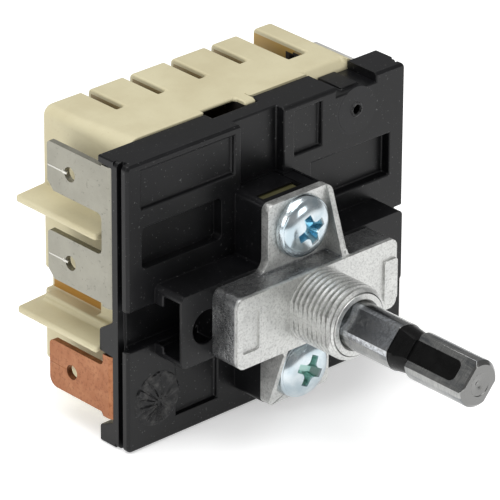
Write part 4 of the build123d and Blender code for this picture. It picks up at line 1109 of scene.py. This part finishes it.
@dataclass
class Bracket:
    """The zinc bracket, its threaded bush and its two screws."""

    zinc: Finish
    upper_plating: Finish
    lower_plating: Finish
    edge: float = 0.34
    crest_radius: float = 4.74
    root_radius: float = 4.30
    pitch: float = 0.794
    bush_end: float = -7.27
    end_radius: float = 3.95
    bore_radius: float = 3.05
    flat: float = 4.32
    ear_front: float = 3.3
    head_height: float = 2.25
    recess_radius: float = 2.45
    screw_offset: float = 9.45
    # Radius and depth of the crown of a screw's head.
    dome: tuple[Pair, ...] = (
        (0, 0), (1.0, 0.02), (1.8, 0.09), (2.5, 0.24), (3.05, 0.48), (3.5, 0.84), (3.62, 1.02),
        (3.6, 1.1), (3.78, 1.2), (3.9, 1.42), (3.95, 1.75),
    )

    def edge_share(self, at: Vector) -> float:
        """Leave the back edges of the ears sharper."""
        return 0.3 if abs(at.y - self.ear_front) < 0.2 else 1.0

    def build(self) -> None:
        """Make the casting, the thread and the screws."""
        casting = Bench.copy_of("mounting_bracket", "bracket_casting")
        plain_bush = [(0, -0.02), (5.4, -0.02), (5.4, -9), (0, -9)]
        Bench.combine(casting, Bench.turned("cutter", plain_bush))
        Bench.soften(casting, self.edge, share=self.edge_share)
        for piece, smooth in ((casting, 30.0), (self.threaded_bush(), 28.0)):
            hand_over(piece, self.zinc, Body.CASE, "mounting_bracket", smooth)
        for place, side, turn, plating in (
            ("upper", 1, -20.0, self.upper_plating),
            ("lower", -1, 27.0, self.lower_plating),
        ):
            node = f"bracket_screw_{place}"
            screw = self.pan_head(f"{node}_dressed", side * self.screw_offset, turn)
            hand_over(screw, plating, Body.CASE, node)

    def threaded_bush(self) -> Piece:
        """A tube with one helical ridge, cut to length, to its end chamfer and to its flats.

        Returns:
            The bush.
        """
        low, high, end = self.root_radius, self.crest_radius, self.bush_end
        chamfer = end + 0.98
        ridge = [(low - 0.2, 0.06), (low, 0.06), (high, 0.24), (high, 0.58)]
        ridge += [(low, 0.77), (low - 0.2, 0.77)]
        start = -9.6
        bush = Bench.line("bush_thread", [(radius, depth + start) for radius, depth in ridge])
        with Bench.editing(bush):
            bpy.ops.mesh.select_all(action="SELECT")
            bpy.ops.mesh.edge_face_add()
            bpy.ops.mesh.delete(type="ONLY_FACE")
        settings = {"axis": "Y", "screw_offset": mm(self.pitch), "iterations": 14, "steps": 72}
        merging = {"use_merge_vertices": True, "merge_threshold": Bench.MERGE}
        Bench.modify(bush, "turns", "SCREW", render_steps=72, **settings, **merging)
        with Bench.editing(bush):
            bpy.ops.mesh.select_all(action="SELECT")
            bpy.ops.mesh.fill_holes(sides=0)
            Bench.close_up()
        rim, bore, back = (self.end_radius, end), self.bore_radius, 0.5
        envelope = [(0, back), (high + 0.2, back), (high + 0.2, chamfer), rim, (0, end)]
        Bench.combine(bush, Bench.turned("envelope", envelope, 96), "INTERSECT")
        walls = [(bore, back), (low, back), (low, chamfer + 0.52), rim]
        walls += [(bore + 0.25, end), (bore, end + 0.25), (bore, back)]
        tube = Bench.turned("tube", walls, 96)
        for piece in (bush, tube):
            for side in (-1, 1):
                inner, outer = sorted((side * self.flat, side * 6.0))
                Bench.combine(piece, Bench.bar("flat", (inner, end - 1, -6), (outer, -0.01, 6)))
        Bench.join(bush, tube)
        return bush

    def pan_head(self, name: str, height: float, turn: float) -> Piece:
        """A pan-head screw with a star-shaped cross recess.

        Args:
            name: the piece's name.
            height: how high its axis lies, in millimetres.
            turn: how far the recess is turned, in degrees.

        Returns:
            The screw.
        """
        crown = self.ear_front - self.head_height
        rim = self.dome[-1][0]
        seat, shank, tail = self.ear_front, 1.75, self.ear_front + 7.4
        profile = [(radius, crown + drop) for radius, drop in self.dome]
        profile += [(rim, seat - 0.18), (rim - 0.15, seat), (shank, seat)]
        profile += [(shank, tail - 0.4), (1.2, tail), (0, tail)]
        screw = Bench.turned(name, profile, 80)
        Bench.nothing_selected()
        bpy.ops.mesh.primitive_circle_add(
            vertices=24, radius=mm(self.recess_radius), fill_type="NGON",
            rotation=(math.pi / 2, 0, 0),
        )
        star = bpy.context.active_object
        Bench.settle(star)

        def on_spoke(at: Vector) -> bool:
            """True for the four corners that lie at this spoke's angle."""
            return abs((Bench.lean(at) - spoke + 45) % 90 - 45) < 2

        with Bench.editing(star):
            for spoke, share in ((30, 0.56), (60, 0.56), (45, 0.50), (0, 0.97)):
                Bench.pick_vertices(star, on_spoke)
                bpy.ops.transform.resize(value=(share, share, share), center_override=(0, 0, 0))
            bpy.ops.mesh.select_all(action="SELECT")
            bpy.ops.transform.translate(value=mm3(0, crown - 0.3, 0))
            bpy.ops.mesh.extrude_region_move(TRANSFORM_OT_translate={"value": mm3(0, 1.5, 0)})
            bpy.ops.transform.resize(value=(0.5, 1, 0.5), center_override=(0, 0, 0))
            Bench.close_up()
        star.rotation_euler = Euler((0, math.radians(turn), 0))
        Bench.settle(star)
        Bench.combine(screw, star)
        screw.location.z = mm(height)
        return screw


@dataclass
class Spindle:
    """The shaft and its black clip."""

    steel: Finish
    clip: Finish
    tip: float = -27.6
    solid_neck: Pair = (-16.5, -12.7)
    neck_front: float = -18.0
    neck_back: float = -15.0
    strip_end: float = -25.4

    def build(self) -> None:
        """Make the shaft and the clip."""
        shaft = self.dressed("shaft", "spindle")
        centre = [(0, -1), (1.5, -1), (1.5, 0), (1.42, 0.08), (0.95, 0.08), (0.45, 0.3), (0, 0.42)]
        centre = [(radius, self.tip + depth) for radius, depth in centre]
        Bench.combine(shaft, Bench.turned("centre", centre, 32))
        Bench.bevel(shaft, 0.12)
        hand_over(shaft, self.steel, Body.SHAFT, "shaft")
        clip = self.dressed("shaft_clip", "spindle_clip")
        for side in (0, 180):
            low, high = (2.36, self.neck_front + 0.02, -5), (6, self.neck_back + 0.5, 5)
            tool = Bench.bar("flat", low, high, 0.0, (0, 0, -3.0))
            tool.rotation_euler = Euler((0, -math.radians(FLATS_LEAN + side), 0))
            Bench.settle(tool)
            Bench.combine(clip, tool)
        Bench.bevel(clip, 0.1)
        hand_over(clip, self.clip, Body.SHAFT, "shaft_clip")

    def dressed(self, node: str, name: str) -> Piece:
        """Copy a piece, set its neck where the photo shows it and round the end of its slot.

        Args:
            node: the node to copy.
            name: the name of the copy.

        Returns:
            The copy.
        """
        piece = Bench.copy_of(node, name)
        front, back = self.solid_neck
        with Bench.editing(piece):
            Bench.pick_vertices(piece, lambda at: mm(front - 0.05) < at.y < mm(back + 0.05))
            share = (self.neck_back - self.neck_front) / (back - front)
            bpy.ops.transform.resize(value=(1, share, 1), center_override=mm3(0, front, 0))
            bpy.ops.transform.translate(value=mm3(0, self.neck_front - front, 0))

        def at_end(edge: Edge) -> bool:
            """True for the short edges across the end of the slot."""
            ends = [abs(vertex.co.y - mm(self.strip_end)) < mm(0.05) for vertex in edge.verts]
            return all(ends) and edge.calc_length() < mm(1.5)

        Bench.round_edges(piece, 0.75, at_end)
        return piece


@dataclass
class Terminals:
    """The sheet-metal terminals at both sides."""

    plated: Finish
    copper: Finish
    edge: float = 0.1
    left: float = -22.05
    tab_rear: float = 23.7
    hole_back: float = 4.1
    web: float = 13.9

    def build(self) -> None:
        """Make the four terminals."""
        for side, finish, material in (
            ("left_double", self.plated, "plated_metal"),
            ("left_copper", self.copper, "copper"),
            ("right_upper", self.plated, "plated_metal"),
            ("right_lower", self.plated, "plated_metal"),
        ):
            node = f"terminal_{side}"
            piece = Bench.copy_of(node, f"{node}_dressed")
            self.round_corners(piece)
            Bench.bevel(piece, self.edge)
            marks = self.score_lines(side)
            if marks:
                Bench.join(piece, *marks)
            hand_over(piece, finish, Body.CASE, node)

    def round_corners(self, piece: Piece) -> None:
        """Round the inner corners at the roots of the left tabs.

        Args:
            piece: the terminal's piece.
        """

        def at_corner(edge: Edge) -> bool:
            """True for the edge where a tab leaves the web at this height."""
            places = [vertex.co - mm3(0, web, height) for vertex in edge.verts]
            return max(math.hypot(place.y, place.z) for place in places) < mm(0.12)

        web, outside = self.web, self.left
        if "left_copper" in piece.name:
            for height, radius in ((TAB_TOPS[2], 0.6), (TAB_TOPS[2] - TAB_WIDTH, 0.44)):
                Bench.round_edges(piece, radius, at_corner)
        if "left_double" in piece.name:
            low, high, inside = TAB_TOPS[1], TAB_TOPS[0] - TAB_WIDTH, outside + 0.8
            for foot in (low, high - 0.7):
                block = (outside, web - 0.4, foot), (inside, web + 0.7, foot + 0.7)
                Bench.combine(piece, Bench.bar("fill", *block), "UNION")
            gap = (outside - 3, web, low), (inside + 3, web + 20, high)
            Bench.combine(piece, Bench.bar("gap", *gap, 0.68))

    def score_lines(self, side: str) -> list[Piece]:
        """The line scored from the end of a tab to its hole, with the burr at the hole.

        Args:
            side: which terminal.

        Returns:
            The small bars of its tabs.
        """
        tops = {"left_double": TAB_TOPS[:2], "left_copper": TAB_TOPS[2:]}.get(side, ())
        x, rear = self.left, self.tab_rear
        hole = rear - self.hole_back
        marks = []
        for number, top in enumerate(tops):
            middle = top - TAB_WIDTH / 2
            score = (x - 0.03, hole + 1.2, middle - 0.09), (x + 0.1, rear - 0.15, middle + 0.09)
            marks.append(Bench.bar(f"score_{side}_{number}", *score, 0.015))
            if side == "left_double":
                burr = (x - 0.12, hole + 0.55, middle - 0.14), (x + 0.3, hole + 1.25, middle + 0.16)
                marks.append(Bench.bar(f"burr_{side}_{number}", *burr, 0.08, (12, 0, 18)))
        return marks


class Inside:
    """The inner pieces, which keep their solids and get their finishes."""

    # Name, colour, metallic and roughness of a finish, and the solids that get it.
    PLAN = (
        ("spring_steel", (0.45, 0.45, 0.46), 1.0, 0.35,
         ("shaft_retaining_ring", "follower_lever", "follower_pivot_pin", "bimetal_anchor")),
        ("white_moulding", (0.78, 0.76, 0.70), 0.0, 0.5, ("cam", "bimetal_pusher")),
        ("bimetal", (0.58, 0.55, 0.50), 1.0, 0.35, ("bimetal_strip",)),
        ("heater_card", (0.50, 0.46, 0.38), 0.0, 0.7, ("bimetal_heater",)),
        ("brass", (0.75, 0.56, 0.24), 1.0, 0.32, ("bimetal_rivet", "calibration_screw")),
        ("spring_copper", (0.72, 0.44, 0.24), 1.0, 0.32, ("snap_blade", "isolator_blade")),
        ("contact_silver", (0.84, 0.84, 0.82), 1.0, 0.22,
         ("snap_moving_contact", "snap_fixed_contact",
          "isolator_moving_contact", "isolator_fixed_contact")),
    )

    def build(self) -> None:
        """Dress every inner solid."""
        for *look, nodes in self.PLAN:
            finish = PlainFinish(*look)
            for node in nodes:
                finish.on(FRAME["nodes"][node])


@dataclass
class Studio:
    """Floor, lights and camera."""

    azimuth: float = -42.6
    elevation: float = 26.4
    roll: float = 0.34
    lens: float = 352.8
    stand: Triple = (-359.85, -379.33, 266.74)
    aim: Triple = (0.0, 5.0, 0.0)
    floor_level: float = -16.35

    @staticmethod
    def hang(name: str, data: bpy.types.ID, place: Triple, facing: Quaternion) -> Piece:
        """Put a camera or a light in the scene.

        Args:
            name: the object's name.
            data: the camera or the light.
            place: where it hangs, in millimetres.
            facing: which way it is turned.

        Returns:
            The object.
        """
        hung = bpy.data.objects.new(name, data)
        hung.location = mm3(*place)
        hung.rotation_mode = "QUATERNION"
        hung.rotation_quaternion = facing
        bpy.context.scene.collection.objects.link(hung)
        return hung

    def camera(self) -> None:
        """Stand the camera where the photograph was taken."""
        turn, lift = math.radians(self.azimuth), math.radians(self.elevation)
        ahead = Vector(
            (-math.sin(turn) * math.cos(lift), math.cos(turn) * math.cos(lift), -math.sin(lift))
        )
        data = bpy.data.cameras.new("camera")
        data.lens, data.sensor_width = self.lens, 36.0
        data.clip_start, data.clip_end = 0.05, 20.0
        facing = ahead.to_track_quat("-Z", "Y") @ Quaternion((0, 0, 1), math.radians(self.roll))
        bpy.context.scene.camera = self.hang("camera", data, self.stand, facing)

    def floor(self) -> None:
        """Lay a pale floor under the case."""
        Bench.nothing_selected()
        bpy.ops.mesh.primitive_plane_add(size=6.0, location=mm3(0, 0, self.floor_level))
        floor = bpy.context.active_object
        floor.name = "floor"
        shader = Shader("pale_floor")
        cloud = shader.noise(3, 2, 0.5)
        tone = shader.blend(cloud, (0.90, 0.90, 0.90), (0.92, 0.92, 0.92))
        shader.set(Base_Color=tone, Roughness=0.9)
        shader.set(Emission_Color=(1.0, 1.0, 1.0), Emission_Strength=0.4)
        floor.data.materials.append(shader.material)

    def lamp(self, name: str, place: Triple, size: float, power: float) -> None:
        """Hang one soft light that faces the object.

        Args:
            name: its name.
            place: where it hangs, in millimetres.
            size: its side, in millimetres.
            power: its power, in watts.
        """
        data = bpy.data.lights.new(name, "AREA")
        data.shape, data.size, data.energy = "SQUARE", mm(size), power
        aim = mm3(*self.aim) - mm3(*place)
        self.hang(name, data, place, aim.to_track_quat("-Z", "Y"))

    def world(self, level: float) -> None:
        """Fill the room with even light.

        Args:
            level: how strong the light is.
        """
        world = bpy.data.worlds.new("room")
        world.use_nodes = True
        back = world.node_tree.nodes["Background"]
        back.inputs["Color"].default_value = (1.0, 1.0, 1.0, 1.0)
        back.inputs["Strength"].default_value = level
        bpy.context.scene.world = world

    def build(self) -> None:
        """Set up floor, lights and camera."""
        self.camera()
        self.floor()
        bpy.context.scene.view_settings.view_transform = "Standard"
        self.world(0.32)
        self.lamp("top_softbox", (-60, 60, 460), 420, 1.7)
        self.lamp("left_softbox", (-430, -40, 200), 260, 0.75)
        self.lamp("front_softbox", (120, -460, 260), 240, 0.6)


def hand_over(
    piece: Piece, finish: Finish, body: Body, node: str, smooth: float = 30.0
) -> None:
    """Finish a piece, hang it on the body it moves with and hide the solid it replaces.

    Args:
        piece: the piece.
        finish: its surface.
        body: the body it rides on.
        node: the solid it replaces.
        smooth: edges flatter than this are smooth, in degrees.
    """
    Bench.finish(piece, smooth)
    finish.on(piece)
    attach(piece, body.value)
    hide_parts(node)
    LOG.info("%s: %d faces, for %s", piece.name, len(piece.data.polygons), node)


def main() -> None:
    """Build the dressed part and the studio round it."""
    logging.basicConfig(level=logging.INFO, format="%(message)s")
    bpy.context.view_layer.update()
    Bench.nothing_selected()
    zinc = CastZinc()
    plated = PlatedSheet()
    Case(BlackMoulding(), CreamMoulding()).build()
    Bracket(zinc, BlueZinc(9.45, (0.30, 0.52, 0.63)), BlueZinc(-9.45, (0.36, 0.54, 0.50))).build()
    Spindle(GroundSteel(), BlackClip()).build()
    Terminals(plated, CopperSheet()).build()
    Inside().build()
    Studio().build()


if __name__ == "__main__":
    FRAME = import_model()
    main()
